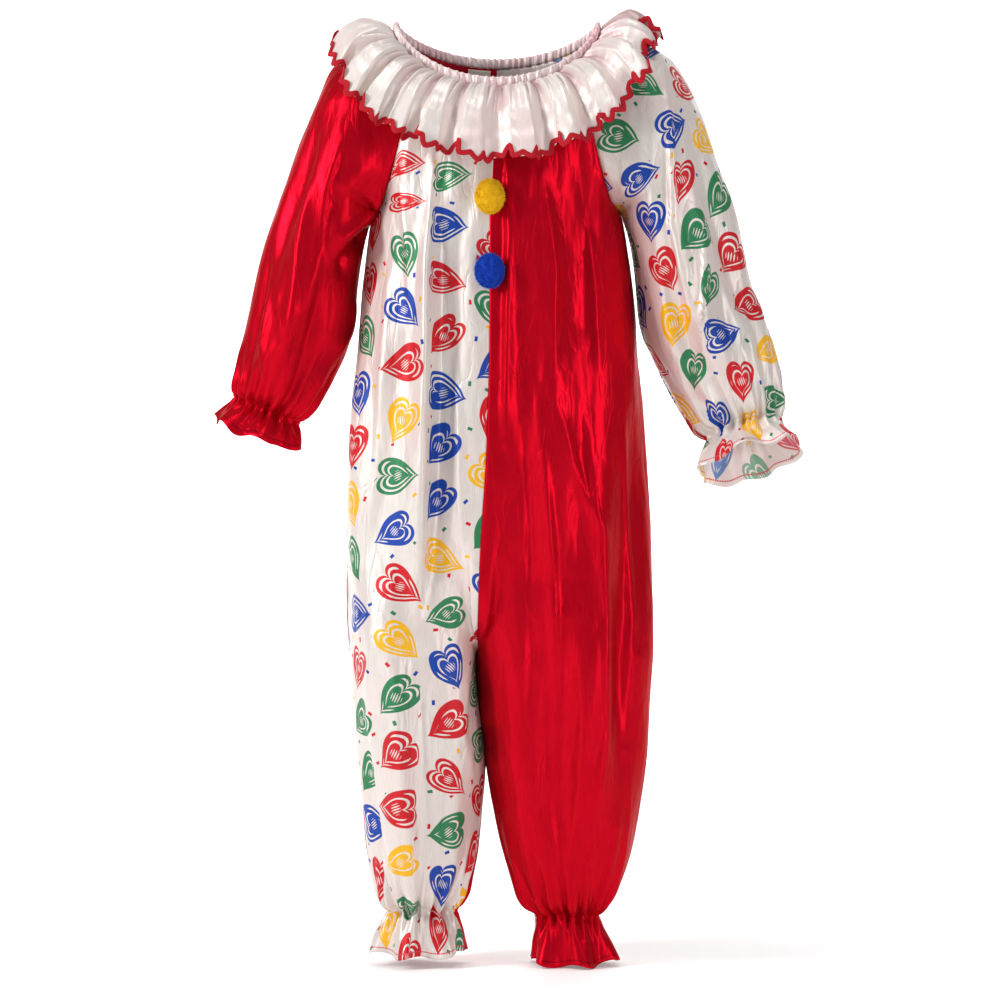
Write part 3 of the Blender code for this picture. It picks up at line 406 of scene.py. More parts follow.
def ramp(value, width):
    """0 up to 0, 1 from width on, and straight between them."""
    return np.clip(value / width, 0, 1)


def direction(vectors):
    """The vectors, each one unit long."""
    return vectors / np.linalg.norm(vectors, axis=-1, keepdims=True)


def points_at(at, run, points):
    """The points at places along a line through other points."""
    return np.stack([np.interp(at, run, points[:, k]) for k in range(3)], axis=1)


def even(points, count=FINE):
    """The line through points as count points at even spacing."""
    points = np.array(points)
    run = run_along(points)
    return points_at(np.linspace(0, run[-1], count), run, points)


def between(stations, at):
    """The sections at the given places among stations, on smooth curves that never overshoot them."""
    stations = np.array(stations)
    steps = np.linalg.norm(np.diff(stations, axis=0), axis=2).mean(axis=1)
    each = np.diff(stations, axis=0) / steps[:, None, None]
    slope = np.concatenate([each[:1], np.zeros_like(each[1:]), each[-1:]])
    same = each[:-1] * each[1:] > 0
    slope[1:-1][same] = 2 * each[:-1][same] * each[1:][same] / (each[:-1] + each[1:])[same]
    rows = []
    for place in at:
        k = min(int(place), len(stations) - 2)
        t, span = place - k, steps[k]
        rows.append(
            (2 * t**3 - 3 * t**2 + 1) * stations[k]
            + (t**3 - 2 * t**2 + t) * span * slope[k]
            + (3 * t**2 - 2 * t**3) * stations[k + 1]
            + (t**3 - t**2) * span * slope[k + 1]
        )
    return np.array(rows)


def power(value, exponent):
    """A power that keeps the value's sign."""
    return np.sign(value) * np.abs(value) ** exponent


def torso_section(row, face):
    """From the side seam to the centre seam."""
    angle = np.radians(np.linspace(0, 90, 4 * FINE))
    round_off = 2 / TORSO_SQUARE
    x = row["inner"] + (row["side"] - row["inner"]) * power(np.cos(angle), round_off)
    y = face * row["depth"] * power(np.sin(angle), round_off)
    return np.stack([x, y, np.full_like(x, row["z"])], axis=1)


def leg_section(row, face):
    """From the side seam round to the inseam."""
    end = row["inseam"] if face < 0 else 360 - row["inseam"]
    angle = np.radians(np.linspace(0, end, 8 * FINE))
    square = np.where(np.cos(angle) < 0, row["square"], OUTER_LEG_SQUARE)
    middle, half = (row["side"] + row["inner"]) / 2, (row["side"] - row["inner"]) / 2
    x = middle + half * power(np.cos(angle), 2 / square)
    y = face * row["depth"] * power(np.sin(angle), 2 / square)
    return np.stack([x, y, np.full_like(x, row["z"])], axis=1)


def neck_arc(side, turn, start, end):
    """The panels' edge under the casing, between two angles from the neck's right or left end."""
    neck_side = 0 if side == "left" else 180
    turns = [neck_side + turn * (start + (end - start) * k / 40) for k in range(41)]
    return [neck_ring(at, PANEL_TOP_OUT, -PANEL_TOP_DROP) for at in turns]


def body_stations(side, face):
    """Sections of one body panel, from the neck to the hem of its leg."""
    way = SIDES[side]
    stations = [even(neck_arc(side, -way * face, RAGLAN_AT, 90))]
    bottom_of_raglan = named(BODY_COLUMNS, BODY[side][0])
    for k, values in enumerate(reversed(RAGLAN)):
        row = named(RAGLAN_COLUMNS, values)
        seam_z, mid_z = (row["front_z"], row["front_mid"]) if face < 0 else (row["back_z"], row["back_mid"])
        round_off = 2 / TORSO_SQUARE
        first = np.arcsin((row["seam_depth"] / row["centre_depth"]) ** (1 / round_off))
        angle = np.linspace(first, np.pi / 2, 4 * FINE)
        centre_x = bottom_of_raglan["inner"] * (k + 1) / len(RAGLAN)
        fade = power(np.cos(angle) / np.cos(first), round_off)
        x = centre_x + (way * row["seam_x"] - centre_x) * fade
        low = np.sin(first) ** round_off
        rise = (power(np.sin(angle), round_off) - low) / (1 - low)
        y = face * (row["seam_depth"] + (row["centre_depth"] - row["seam_depth"]) * rise)
        z = mid_z + (seam_z - mid_z) * fade**1.5
        stations.append(even(np.stack([x, y, z], axis=1)))
    for values in BODY[side]:
        row = named(BODY_COLUMNS, values)
        row["inner"] += way * LEG_GAP / 2 if row["z"] <= RISE_CURVE_TOP_Z else 0.0
        stations.append(rise_section(row, face))
    return eased(np.array(stations))


def eased(stations):
    """The stations with the shape's turn from torso to leg softened, but for the panel's inner edge."""
    hold = ramp(np.linspace(0, 1, FINE) - 0.7, 0.25)[None, :, None]
    mid = (stations[:, :, 2].mean(axis=1) < EASE_TOP_Z) & (stations[:, :, 2].mean(axis=1) > EASE_BOTTOM_Z)
    here = np.flatnonzero(mid)
    for _ in range(EASE_ROUNDS):
        before, now, after = stations[here - 1], stations[here], stations[here + 1]
        up = np.abs(before[:, :1, 2:] - now[:, :1, 2:])
        down = np.abs(now[:, :1, 2:] - after[:, :1, 2:])
        soft = (before * down + after * up) / (up + down)
        moved = now + (soft - now) * 0.5 * (1 - hold)
        moved[:, :, 2] = now[:, :, 2]
        stations[here] = moved
    return stations


def rise_section(row, face):
    """A torso section above the rise curve, a leg section below the crotch, and a blend of both between them.

    The panel's inner edge follows the rise curve, a quarter of an ellipse in the plane of the centre seam.
    """
    t = min(max((RISE_CURVE_TOP_Z - row["z"]) / (RISE_CURVE_TOP_Z - CROTCH_Z), 0.0), 1.0)
    torso = even(torso_section(row, face))
    if t == 0:
        return torso
    share = 1 - (1 - t) ** 2
    leg = leg_section(row, face)
    edge_depth = max(0.0, ((1 - t * t) ** 0.5 - (1 - share)) / share) * row["depth"]
    inner_half = np.arange(len(leg)) > len(leg) * 0.55
    cut = len(leg) if t == 1 else int(np.argmax(inner_half & (np.abs(leg[:, 1]) <= edge_depth)))
    section = torso + (even(leg[:cut]) - torso) * share
    if t < 1:
        across = np.linspace(0, 1, FINE)
        section[:, 0] += (row["inner"] - section[-1, 0]) * ramp(across - 0.6, 0.4) ** 2
    return section


def arch(crest, seam, start, depth, forward, tip, face):
    """Half a sleeve section, from its seam or underside to its crest. crest and seam are x, z pairs."""
    crest, seam = np.array(crest), np.array(seam)
    first = radians(start)
    angle = np.linspace(first, np.pi / 2, 4 * FINE)
    reach = (1 - np.sin(angle)) / (1 - sin(first))
    line = crest + (seam - crest) * reach[:, None]
    half = depth * np.cos(angle)
    lift = -face * half * sin(radians(tip))
    y = face * half * cos(radians(tip)) - forward
    return np.stack([line[:, 0], y, line[:, 1] + lift], axis=1)


def sleeve_stations(side):
    """Sections of a sleeve, from its front edge over the crest to its back edge, neck to hem."""
    way = SIDES[side]
    stations = [joined(neck_arc(side, way, RAGLAN_AT, 0), neck_arc(side, -way, 0, RAGLAN_AT))]
    for k in reversed(range(len(RAGLAN))):
        row = named(RAGLAN_COLUMNS, RAGLAN[k])
        halves = []
        for face, seam_z in ((-1, row["front_z"]), (1, row["back_z"])):
            depth = row["seam_depth"] / cos(radians(row["start"])) if row["seam_depth"] else UNDERARM_DEPTH
            seam = (way * row["seam_x"], seam_z)
            halves.append(arch(CREST[side][k], seam, row["start"], depth, 0.0, 0.0, face))
        stations.append(joined(halves[0], halves[1][::-1]))
    for values in SLEEVE[side]:
        row = named(SLEEVE_COLUMNS, values)
        crest, under = (row["crest_x"], row["crest_z"]), (row["under_x"], row["under_z"])
        shape = row["depth"], row["forward"], row["tip"]
        halves = [arch(crest, under, -90.0, *shape, face) for face in (-1, 1)]
        stations.append(joined(halves[0], halves[1][::-1]))
    return stations


def joined(first, last):
    """Two half sections as one, with the same number of points on each side of the crest."""
    half = FINE // 2 + 1
    return np.concatenate([even(first, half), even(last, half)[1:]])


def fold_height(piece, across, z, width):
    """How far the piece's folds stand out at a place across it and a height."""
    total = np.zeros_like(z)
    for values in FOLDS[piece]:
        fold = named(FOLD_COLUMNS, values)
        t = (fold["top"] - z) / (fold["top"] - fold["bottom"])
        centre = fold["start"] + (fold["end"] - fold["start"]) * t
        strength = np.sin(np.pi * np.clip(t, 0, 1)) ** 0.7
        total += fold["height"] * strength * np.exp(-(((across - centre) * width / fold["half_width"]) ** 2))
    return total


def outward(rows, middle):
    """Unit normals of a sheet of rows, pointing away from the middle of each row."""
    normal = np.cross(np.gradient(rows, axis=1), np.gradient(rows, axis=0))
    normal /= np.maximum(np.linalg.norm(normal, axis=2, keepdims=True), 1e-9)
    return normal * np.sign(np.einsum("ijk,ijk->ij", normal, rows - middle).mean())


def picked(rows, spans):
    """Each row with spans + 1 points at even places of it."""
    places = np.linspace(0, rows.shape[1] - 1, spans + 1)
    low = np.minimum(places.astype(int), rows.shape[1] - 2)
    part = (places - low)[None, :, None]
    return rows[:, low] * (1 - part) + rows[:, low + 1] * part


def evenly_down(stations, count):
    """Places among the stations at even steps down the cloth."""
    run = run_down(np.array(stations))
    return np.interp(np.linspace(0, run[-1], count + 1), run, np.arange(len(run)))


def rippled(points, layers, seed):
    """Heights of smooth noise over the points. The noise stays within 0.6, so 1.6 brings it to the height."""
    total = np.zeros(points.shape[:-1])
    for height, waves, shift in layers:
        start = Vector((seed + shift, 0, 0))
        values = [noise.noise(Vector(p) + start) for p in points.reshape(-1, 3) / waves]
        total += height * 1.6 * np.array(values).reshape(total.shape)
    return total


def beside(points, line):
    """How far points lie to one side (+) or the other (-) of a line of x, z pairs, and where along it."""
    x, z = points[..., 0], points[..., 2]
    line = np.array(line, float)
    run = run_along(line)
    nearest, along = np.full(x.shape, 1e9), np.zeros_like(x)
    for k, (a, b) in enumerate(zip(line, line[1:])):
        d = b - a
        t = ramp((x - a[0]) * d[0] + (z - a[1]) * d[1], d @ d)
        off_x, off_z = x - a[0] - t * d[0], z - a[1] - t * d[1]
        distance = np.hypot(off_x, off_z) * np.where(d[0] * off_z - d[1] * off_x < 0, -1, 1)
        closer = np.abs(distance) < np.abs(nearest)
        nearest = np.where(closer, distance, nearest)
        along = np.where(closer, (run[k] + t * (run[k + 1] - run[k])) / run[-1], along)
    return nearest, along


def creased(points, creases):
    """The height of listed creases: ridges, or valleys, beside lines on the front or the back."""
    total = np.zeros(points.shape[:-1])
    for face, width, height, lean, line in creases:
        distance, along = beside(points, line)
        reach = width * np.where(distance > 0, 1 + lean, 1 - lean)
        taper = np.sin(pi * np.clip(along, 0.02, 0.98)) ** 0.6
        on_face = ramp(points[..., 1] * face, 12.0)
        total += height * taper * on_face / (1 + (distance / reach) ** 2) ** 1.5
    return total


def softened(rows, top, bottom, rounds):
    """The rows with their depth smoothed down the cloth between two heights, away from the seams."""
    rows = rows.copy()
    across = np.linspace(0, 1, rows.shape[1])[None, :]
    free = ramp(np.minimum(across, 1 - across), 0.08)
    z = rows[..., 2]
    free = free * ramp(top - z, 20) * ramp(z - bottom, 20)
    for _ in range(rounds):
        mean = (rows[:-2] + rows[2:]) / 2
        rows[1:-1] += (mean - rows[1:-1]) * (0.5 * free[1:-1])[..., None]
    return rows


def flat_uv(u, v):
    """The UV map of a plain strip of cloth, from its columns' and its rows' millimetres."""
    return np.stack(np.meshgrid(u, v), axis=2) * MM


def laid_grid(rows, uv):
    """A grid laid over the rows of points, with a UV map in metres of cloth."""
    mesh = bmesh.new()
    bmesh.ops.create_grid(mesh, x_segments=rows.shape[1] - 1, y_segments=rows.shape[0] - 1, size=1.0)
    mesh.verts.ensure_lookup_table()
    layer = mesh.loops.layers.uv.new("cloth")
    at = uv.reshape(-1, 2)
    for vert, point in zip(mesh.verts, rows.reshape(-1, 3) * MM):
        vert.co = point
    for f in mesh.faces:
        for loop in f.loops:
            loop[layer].uv = at[loop.vert.index]
    return mesh


def cloth(name, rows, uv, middle, outside, inside=None, closed=False, wall=CLOTH_WALL, gather_shade=None):
    """A piece of cloth with a wall of its own. The last argument, from 0 to 1, is how deep in a gather a
    point lies, kept on the mesh for painted shade.
    """
    mesh = laid_grid(rows, uv)
    if gather_shade is not None:
        depth = mesh.verts.layers.float.new("gather_shade")
        for vert, share in zip(mesh.verts, gather_shade.ravel()):
            vert[depth] = share
    if closed:
        bmesh.ops.remove_doubles(mesh, verts=mesh.verts, dist=1e-6)
    mesh.normal_update()
    middle = Vector(middle) * MM
    if sum((f.calc_center_median() - middle).dot(f.normal) * f.calc_area() for f in mesh.faces) < 0:
        bmesh.ops.reverse_faces(mesh, faces=mesh.faces)
    piece = placed(name, mesh, [outside] + ([inside] if inside else []))
    thick = piece.modifiers.new("wall", "SOLIDIFY")
    thick.thickness = wall * MM
    thick.offset = -1.0
    thick.use_quality_normals = True
    if inside:
        thick.material_offset = 1
    return piece


def placed(name, mesh, materials):
    """The mesh as a smooth object of the scene, carried by the suit's one body."""
    data = bpy.data.meshes.new(name)
    mesh.to_mesh(data)
    mesh.free()
    data.shade_smooth()
    for material in materials:
        data.materials.append(material)
    piece = bpy.data.objects.new(name, data)
    bpy.context.scene.collection.objects.link(piece)
    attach(piece, "root")
    return piece


def gathered(across, up, waves, reach, height):
    """Fine pleats that fan out above an elastic: across is 0 to 1, up is from the elastic."""
    wander = 0.9 * np.sin(tau * across * 3 + 1.3) + 0.6 * np.sin(tau * across * 7.3)
    pleats = np.cos(tau * waves * across + wander + up * 0.012 * np.sin(tau * across * 4.7 + 0.4))
    long = 0.55 + 0.45 * np.sin(tau * across * 5.1 + 2.0) * np.sin(tau * across * 2.3)
    fade = np.exp(-((np.maximum(up, 0) / (reach * long)) ** 1.3) + np.minimum(up, 0) / 14.0)
    return height * fade * pleats


def drawn_in(above):
    """The elastic's pinch, and the cloth that swells over it: above is millimetres up from the elastic."""
    return 1.6 * np.exp(-(((above - 17) / 11) ** 2)) - 2.0 * np.exp(-((above / 5.5) ** 2))


def at_elastic(across, above, by_seam, gather, flounce, waves, wide, pleats):
    """Heights round an elastic: waves that widen in the flounce, fine pleats, and two rows of stitches."""
    heights = gather * by_seam * (waves * (1 - flounce) ** 3 + wide * flounce**0.8)
    heights += gathered(across, above, *pleats) * by_seam * (1 - 0.6 * flounce)
    heights -= 0.5 * (np.exp(-(((above - 3) / 1.4) ** 2)) + np.exp(-(((above + 3) / 1.4) ** 2)))
    return heights + drawn_in(above)


def seam_groove(to_seam, rows, seed):
    """The cloth beside a seam stands up from it, with small puckers along it."""
    puckers = np.exp(-to_seam / 5.0) * rippled(rows, SEAM_PUCKERS, seed)
    return (puckers + 0.7) * (1 - np.exp(-((to_seam / 2.2) ** 2)))


def raised(rows, middle, heights, to_seam, meets, sideways):
    """The rows moved out by heights. Edges that meet move sideways alike, so that their seam stays closed."""
    edge = (np.exp(-((to_seam / EDGE_REACH) ** 2)) * meets)[..., None]
    return rows + (outward(rows, middle) * (1 - edge) + sideways * edge) * heights[..., None]


def joined_to_panels(rows, side):
    """A sleeve's rows with both edges laid on the panels' raglan seams; the cloth beside them moves along."""
    width = widths(rows)
    across = np.linspace(0, 1, rows.shape[1])[None, :]
    moved = rows.copy()
    for face, edge, from_edge in ((-1, 0, across), (1, -1, 1 - across)):
        seam = between(body_stations(side, face), np.linspace(0, len(RAGLAN), 200))[::-1, 0]
        z = rows[:, edge, 2]
        shift = np.zeros((len(rows), 3))
        for k in (0, 1):
            shift[:, k] = np.where(z > seam[0, 2], np.interp(z, seam[:, 2], seam[:, k]) - rows[:, edge, k], 0)
        moved += np.exp(-((from_edge * width / EDGE_REACH) ** 2))[..., None] * shift[:, None]
    return moved


def tucked(name, rows):
    """How far the print is moved apart where soft pleats hide some of the cloth."""
    shift = np.zeros(rows.shape[:2])
    for face, line, hidden in TUCKS.get(name, ()):
        distance, along = beside(rows, line)
        held = np.sin(pi * np.clip(along, 0.02, 0.98)) ** 0.4 * (rows[..., 1] * face > 0)
        shift += hidden * held * np.clip(distance / 1.6, -1, 1) / 2
    return shift


def panel_uv(name, rows, side, way):
    """Metres of cloth: across from the grain line down the middle of the panel, and up from the hem."""
    run = np.zeros(rows.shape[:2])
    run[:, 1:] = np.cumsum(np.linalg.norm(np.diff(rows, axis=1), axis=2), axis=1)
    width = run[:, -1]
    grain = np.array([np.interp(-GRAIN_X, -np.abs(row[:60, 0]), r[:60]) for row, r in zip(rows, run)])
    full = width[np.argmin(np.abs(rows[:, 0, 2] - GATHERS_FROM_Z))]
    spare = np.where(rows[:, 0, 2] < GATHERS_FROM_Z, np.maximum(full / width, 1), 1)
    u = (run - grain[:, None]) * spare[:, None]
    u += tucked(name, rows)
    drop = np.zeros(rows.shape[:2])
    drop[1:] = np.cumsum(np.linalg.norm(np.diff(rows, axis=0), axis=2), axis=0)
    level = rows[:, rows.shape[1] // 2, 2]
    waist = np.argmin(np.abs(level - WAIST_Z))
    grain_column = np.argmin(np.abs(np.abs(rows[waist, :60, 0]) - GRAIN_X))
    from_waist = drop[waist] - drop + (drop[-1] - drop[waist])[grain_column]
    to_hem = ramp(CROTCH_Z - level, CROTCH_Z - GATHERS_FROM_Z)[:, None]
    v = from_waist * (1 - to_hem) + (drop[-1:] - drop) * to_hem
    return np.stack([u * way * side, v], axis=2) * MM


def body_panel(face, side, outside, inside):
    """Front or back of one side: neck to ankle flounce."""
    name, way = f"{face}_{side}", FACES[face]
    stations, table = body_stations(side, way), BODY[side]
    places = evenly_down(stations, PANEL_MESH[1])
    flat = softened(picked(between(stations, places), PANEL_MESH[0]), -40, -800, 60)
    z = flat[..., 2]
    across = np.linspace(0, 1, PANEL_MESH[0] + 1)[None, :] * np.ones_like(z)
    width = widths(flat)
    to_seam = np.minimum(across, 1 - across) * width
    seam_fade, by_seam = ramp(to_seam, SEAM_FADE), ramp(to_seam, GATHER_FADE)
    at_neck = ramp(run_down(flat), SEAM_FADE)[:, None]
    inside_leg = ramp(across - 0.6, 0.1) * ramp(-540 - z, 30)
    elastic, hem = table[-4][0], table[-1][0]
    above = z - elastic
    flounce = ramp(-above, elastic - hem)
    folds = fold_height(name, across, z, width) * (1 - inside_leg)
    folds += creased(flat, CREASES[name]) * (1 - 0.7 * inside_leg)
    free = 1 - ramp(30 - above, 30)
    folds = PANEL_FOLDS * folds + rippled(flat, PANEL_RIPPLES, SEEDS[name]) * free
    # The gathers, whose depth is the last number of each section.
    depths = [0.0] * (len(RAGLAN) + 1) + [row[-1] for row in table]
    gather = np.interp(places, range(len(stations)), depths)[:, None]
    wobble = 0.55 * np.sin(tau * across * 2.0 + 0.8) + 0.35 * np.sin(tau * across * 5.0)
    waves = -np.cos(tau * ANKLE_WAVES * across + wobble * seam_fade)
    wide = -1.6 * np.cos(tau * ANKLE_WAVES / 3 * across + 1.1)
    heights = folds * seam_fade * at_neck
    heights += at_elastic(across, above, by_seam, gather, flounce, waves, wide, ANKLE_PLEATS)
    rise = ramp(across - 0.5, 0.1) * ramp(-520 - z, 40)
    heights += seam_groove(to_seam, flat, SEEDS[name]) * ramp(-60 - z, 30) * (1 - rise)
    # The side seam and the inner leg's seam, where a panel meets the other one of its leg.
    meets = ramp(np.where(across < 0.5, UNDERARM_Z, CROTCH_Z) - z, 20)
    sideways = np.where(across < 0.5, SIDES[side], -SIDES[side])[..., None] * np.array([1.0, 0.0, 0.0])
    middle = flat.mean(axis=1, keepdims=True) * np.array([1, 0, 1])
    rows = raised(flat, middle, heights, to_seam, meets, sideways)
    rows[..., 2] += 2.6 * flounce**2 * np.cos(tau * ANKLE_WAVES / 3 * across + 2.2)
    rows[..., 2] += flounce * (6.0 * (1 - np.sin(pi * across)) - 1.5)
    uv = panel_uv(name, flat, SIDES[side], way)
    piece = cloth(name + "_cloth", rows, uv, rows.reshape(-1, 3).mean(axis=0) * (1, 0, 1), outside, inside)
    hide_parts(name)
    return piece


def sleeve(side, outside, inside):
    """One raglan sleeve with its cuff, from the front edge over the crest to the back edge."""
    name = f"sleeve_{side}"
    stations = sleeve_stations(side)
    places = evenly_down(stations, SLEEVE_MESH[1])
    flat = joined_to_panels(picked(between(stations, places), SLEEVE_MESH[0]), side)
    across = np.linspace(0, 1, SLEEVE_MESH[0] + 1)[None, :] * np.ones(flat.shape[:2])
    width = widths(flat)
    to_seam = np.minimum(across, 1 - across) * width
    seam_fade, by_seam = ramp(to_seam, SEAM_FADE), ramp(to_seam, GATHER_FADE)
    down = run_down(flat)
    elastic = np.interp(len(stations) - 4.0, places, down)
    above = (elastic - down)[:, None] * np.ones_like(across)
    flounce = ramp(-above, down[-1] - elastic)
    folds = fold_height(name, across, flat[..., 2], width) + creased(flat, CREASES[name])
    free = 1 - ramp(30 - above, 30)
    folds = SLEEVE_FOLDS * folds + rippled(flat, SLEEVE_RIPPLES, SEEDS[name]) * free
    depths = [0.0] * (len(RAGLAN) + 1) + [row[-1] for row in SLEEVE[side]]
    gather = np.interp(places, range(len(stations)), depths)[:, None]
    waves = -np.cos(tau * WRIST_WAVES * across + 0.6 * np.sin(tau * across * 3.0) * seam_fade)
    wide = -np.cos(tau * WRIST_WAVES / 2.67 * across + 1.1)
    heights = folds * seam_fade * ramp(down, SEAM_FADE)[:, None]
    heights += at_elastic(across, above, by_seam, gather, flounce, waves, wide, WRIST_PLEATS)
    heights += seam_groove(to_seam, flat, SEEDS[name]) * ramp(down[:, None] - 36, 60)
    # The underarm seam, where the sleeve's own two edges meet.
    meets = np.clip((places[:, None] - len(RAGLAN)) * 2, 0, 1)
    middle = flat.mean(axis=1, keepdims=True)
    rows = raised(flat, middle, heights, to_seam, meets, direction(flat[:, :1] - middle))
    step = direction(rows[-1:] - rows[-6:-5])
    rows = rows + step * (2.2 * flounce**2 * np.cos(tau * WRIST_WAVES / 2 * across + 2.2))[..., None]
    cut = np.maximum.accumulate(width)
    u = (across - 0.5) * cut + tucked(name, flat)
    uv = np.stack([u, (down[-1] - down)[:, None] * np.ones_like(across)], axis=2) * MM
    piece = cloth(name + "_cloth", rows, uv, rows[len(rows) // 2].mean(axis=0), outside, inside)
    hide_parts(name)
    return piece


def ruffle_edge(degrees):
    """The ruffle's lower edge without its waves, at an array of degrees."""
    table = np.array(RUFFLE_EDGE, float)
    step = 360 / len(table)
    place = (degrees % 360) / step
    k = place.astype(int)
    t = (place - k)[:, None]
    p0, p1, p2, p3 = (table[(k + i) % len(table)] for i in (-1, 0, 1, 2))
    curve = (2 * p0 - 5 * p1 + 4 * p2 - p3) * t**2 + (3 * p1 - p0 - 3 * p2 + p3) * t**3
    return 0.5 * (2 * p1 + (p2 - p0) * t + curve)


def ruffle_curve(degrees, shares):
    """Rows of the ruffle without its waves, in one smooth curve from the casing to its edge."""
    top = np.array([neck_ring(at, COLLAR_TOP_OUT, -COLLAR_TOP_DROP) for at in degrees])
    edge = ruffle_edge(degrees)
    away = (edge - top) * (1, 1, 0)
    shoulder = top + away * 0.4
    shoulder[:, 2] += RUFFLE_RISE + RUFFLE_SIDE_RISE * np.cos(np.radians(degrees)) ** 2
    bend = edge - away * 0.16
    bend[:, 2] += RUFFLE_BEND_RISE
    t = np.array(shares)[:, None, None]
    return (1 - t) ** 3 * top + 3 * (1 - t) ** 2 * t * shoulder + 3 * (1 - t) * t * t * bend + t**3 * edge


def ruffle_rows(spans, shares):
    """Rows of the ruffle, whose gathers open into deep soft waves, and how deep in a gather each point is,
    for painted shade.
    """
    turns = np.linspace(0, 1, spans + 1)
    degrees = 360 * turns
    rows = ruffle_curve(degrees, shares)
    facing = np.cos(np.radians(degrees)) ** 2
    loop = np.concatenate([rows[:, -2:-1], rows, rows[:, 1:2]], axis=1)
    along = np.gradient(loop, axis=1)[:, 1:-1]
    normal = direction(np.cross(along, np.gradient(rows, axis=0)))
    normal *= np.sign(normal[len(rows) // 2, :, 2].mean())
    along = direction(along)
    phase = tau * COLLAR_WAVES * turns + 1.6 * np.sin(tau * turns * 3) + 0.9 * np.sin(tau * turns * 5 + 1)
    share = np.array(shares)[:, None]
    size = 0.82 + 0.2 * np.sin(tau * turns * 4 + 2) + 0.34 * np.sin(phase / 2 + 1) * np.sin(tau * turns * 5)
    size *= (1 - 0.1 * facing) * (1 - 0.45 * (1 - facing) ** 3)
    pinched = 2 * np.abs(np.cos(phase / 2)) ** 0.4 - 1
    round_off = np.clip(share, 0, 1) ** 1.8
    depth = RUFFLE_TOP_WAVE + RUFFLE_EDGE_WAVE * share**0.5
    wave = (np.cos(phase) * round_off + pinched * (1 - round_off)) * size * depth
    wave -= 0.75 * depth * (1 - ramp(share, 0.5))
    near_top = ramp(share, 0.05) * np.exp(-((share / 0.42) ** 2))
    small = np.abs(np.cos(1.5 * phase + 0.7)) ** 0.6 + 0.6 * np.abs(np.cos(2.5 * phase + 2.0)) ** 0.6
    wave += RUFFLE_GATHERS * (small - 1.1) * near_top
    wave += RUFFLE_SECOND_WAVE * np.cos(2 * phase + 3.0 * np.sin(tau * turns * 6)) * share**1.5
    curl = RUFFLE_CURL * np.sin(2 * phase) * size * share**1.5
    crumple = rippled(rows, COLLAR_RIPPLES, 0) * share**0.7 * (1 - share**6)
    dip = RUFFLE_DIPS[0] * np.cos(phase + 0.9) + RUFFLE_DIPS[1] * np.cos(2 * phase - 0.5)
    rows = rows + normal * (wave + crumple)[..., None] + along * curl[..., None]
    rows[..., 2] -= dip * size * share**2
    # Painted shade: a darker pink along the gathers' V creases, in the fine gathers near the casing and right
    # under the casing.
    crease_shade = np.exp(-(((1 - np.abs(np.sin(phase / 2))) / 0.06) ** 2)) * np.exp(-((share / 0.45) ** 2))
    fine = np.clip(1.1 - small, 0, 1) * near_top
    gather_shade = np.clip(0.75 * crease_shade + 0.9 * fine + 0.3 * np.exp(-share / 0.05), 0, 1)
    return rows, gather_shade


def collar_ruffle(outside, inside):
    """The gathered collar, sewn into the casing's lower edge."""
    rows, gather_shade = ruffle_rows(COLLAR_MESH[0], np.linspace(0, 1, COLLAR_MESH[1] + 1))
    down = run_down(rows)
    length = np.linalg.norm(np.diff(rows[-1], axis=0), axis=1).sum()
    uv = flat_uv(np.linspace(0, length, rows.shape[1]), down[-1] - down)
    piece = cloth("collar_cloth", rows, uv, (0, 0, -100), outside, inside, True, 0.8, gather_shade)
    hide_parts("collar_ruffle")
    return piece


def smoothed(values, reach):
    """A closed run of values, each the mean of its neighbours within reach."""
    joined_up = np.concatenate([values[-reach - 1 : -1], values, values[1 : reach + 1]])
    total = np.cumsum(np.concatenate([np.zeros((1, values.shape[1])), joined_up]), axis=0)
    return (total[2 * reach + 1 :] - total[: -2 * reach - 1]) / (2 * reach + 1)


def rickrack(material):
    """Zigzag braid stitched on the ruffle's edge."""
    fine, _ = ruffle_rows(4 * COLLAR_MESH[0], (0.965, 1.0))
    run = run_along(fine[1])
    count = ZIGZAGS * ZIGZAG_STEPS
    at = np.linspace(0, run[-1], count + 1)
    above, edge = (points_at(at, run, row) for row in fine)
    edge[-1], above[-1] = edge[0], above[0]
    edge = smoothed(edge, 3)
    along = smoothed(np.gradient(np.concatenate([edge[-2:-1], edge, edge[1:2]]), axis=0)[1:-1], 8)
    along = direction(along)
    down = smoothed(edge - above, 14)
    down = direction(down - along * np.einsum("ij,ij->i", down, along)[:, None])
    normal = np.cross(along, down)
    normal *= np.sign(np.einsum("ij,ij->i", normal, edge - np.array([0, 0, -60.0])).mean())
    turn = np.arange(count + 1) / ZIGZAG_STEPS * tau
    sway = ZIGZAG_SWAY * np.arcsin(0.98 * np.sin(turn)) / (pi / 2) - 0.6
    slope = np.gradient(sway) / (run[-1] / count)
    squeeze = 1 / np.sqrt(1 + slope**2)
    rows = []
    sides = np.linspace(-1, 1, 7)
    for side in sides:
        lift = 1.5 + 0.4 * (1 - side**2)
        reach = BRAID_HALF_WIDTH * side
        row = edge + down * (sway + reach * squeeze)[:, None] - along * (reach * slope * squeeze)[:, None]
        rows.append(row + normal * lift)
    uv = flat_uv(at, sides * BRAID_HALF_WIDTH)
    piece = cloth("rickrack_braid", np.array(rows), uv, (0, 0, -60), material, None, True, 0.9)
    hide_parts("rickrack")
    return piece


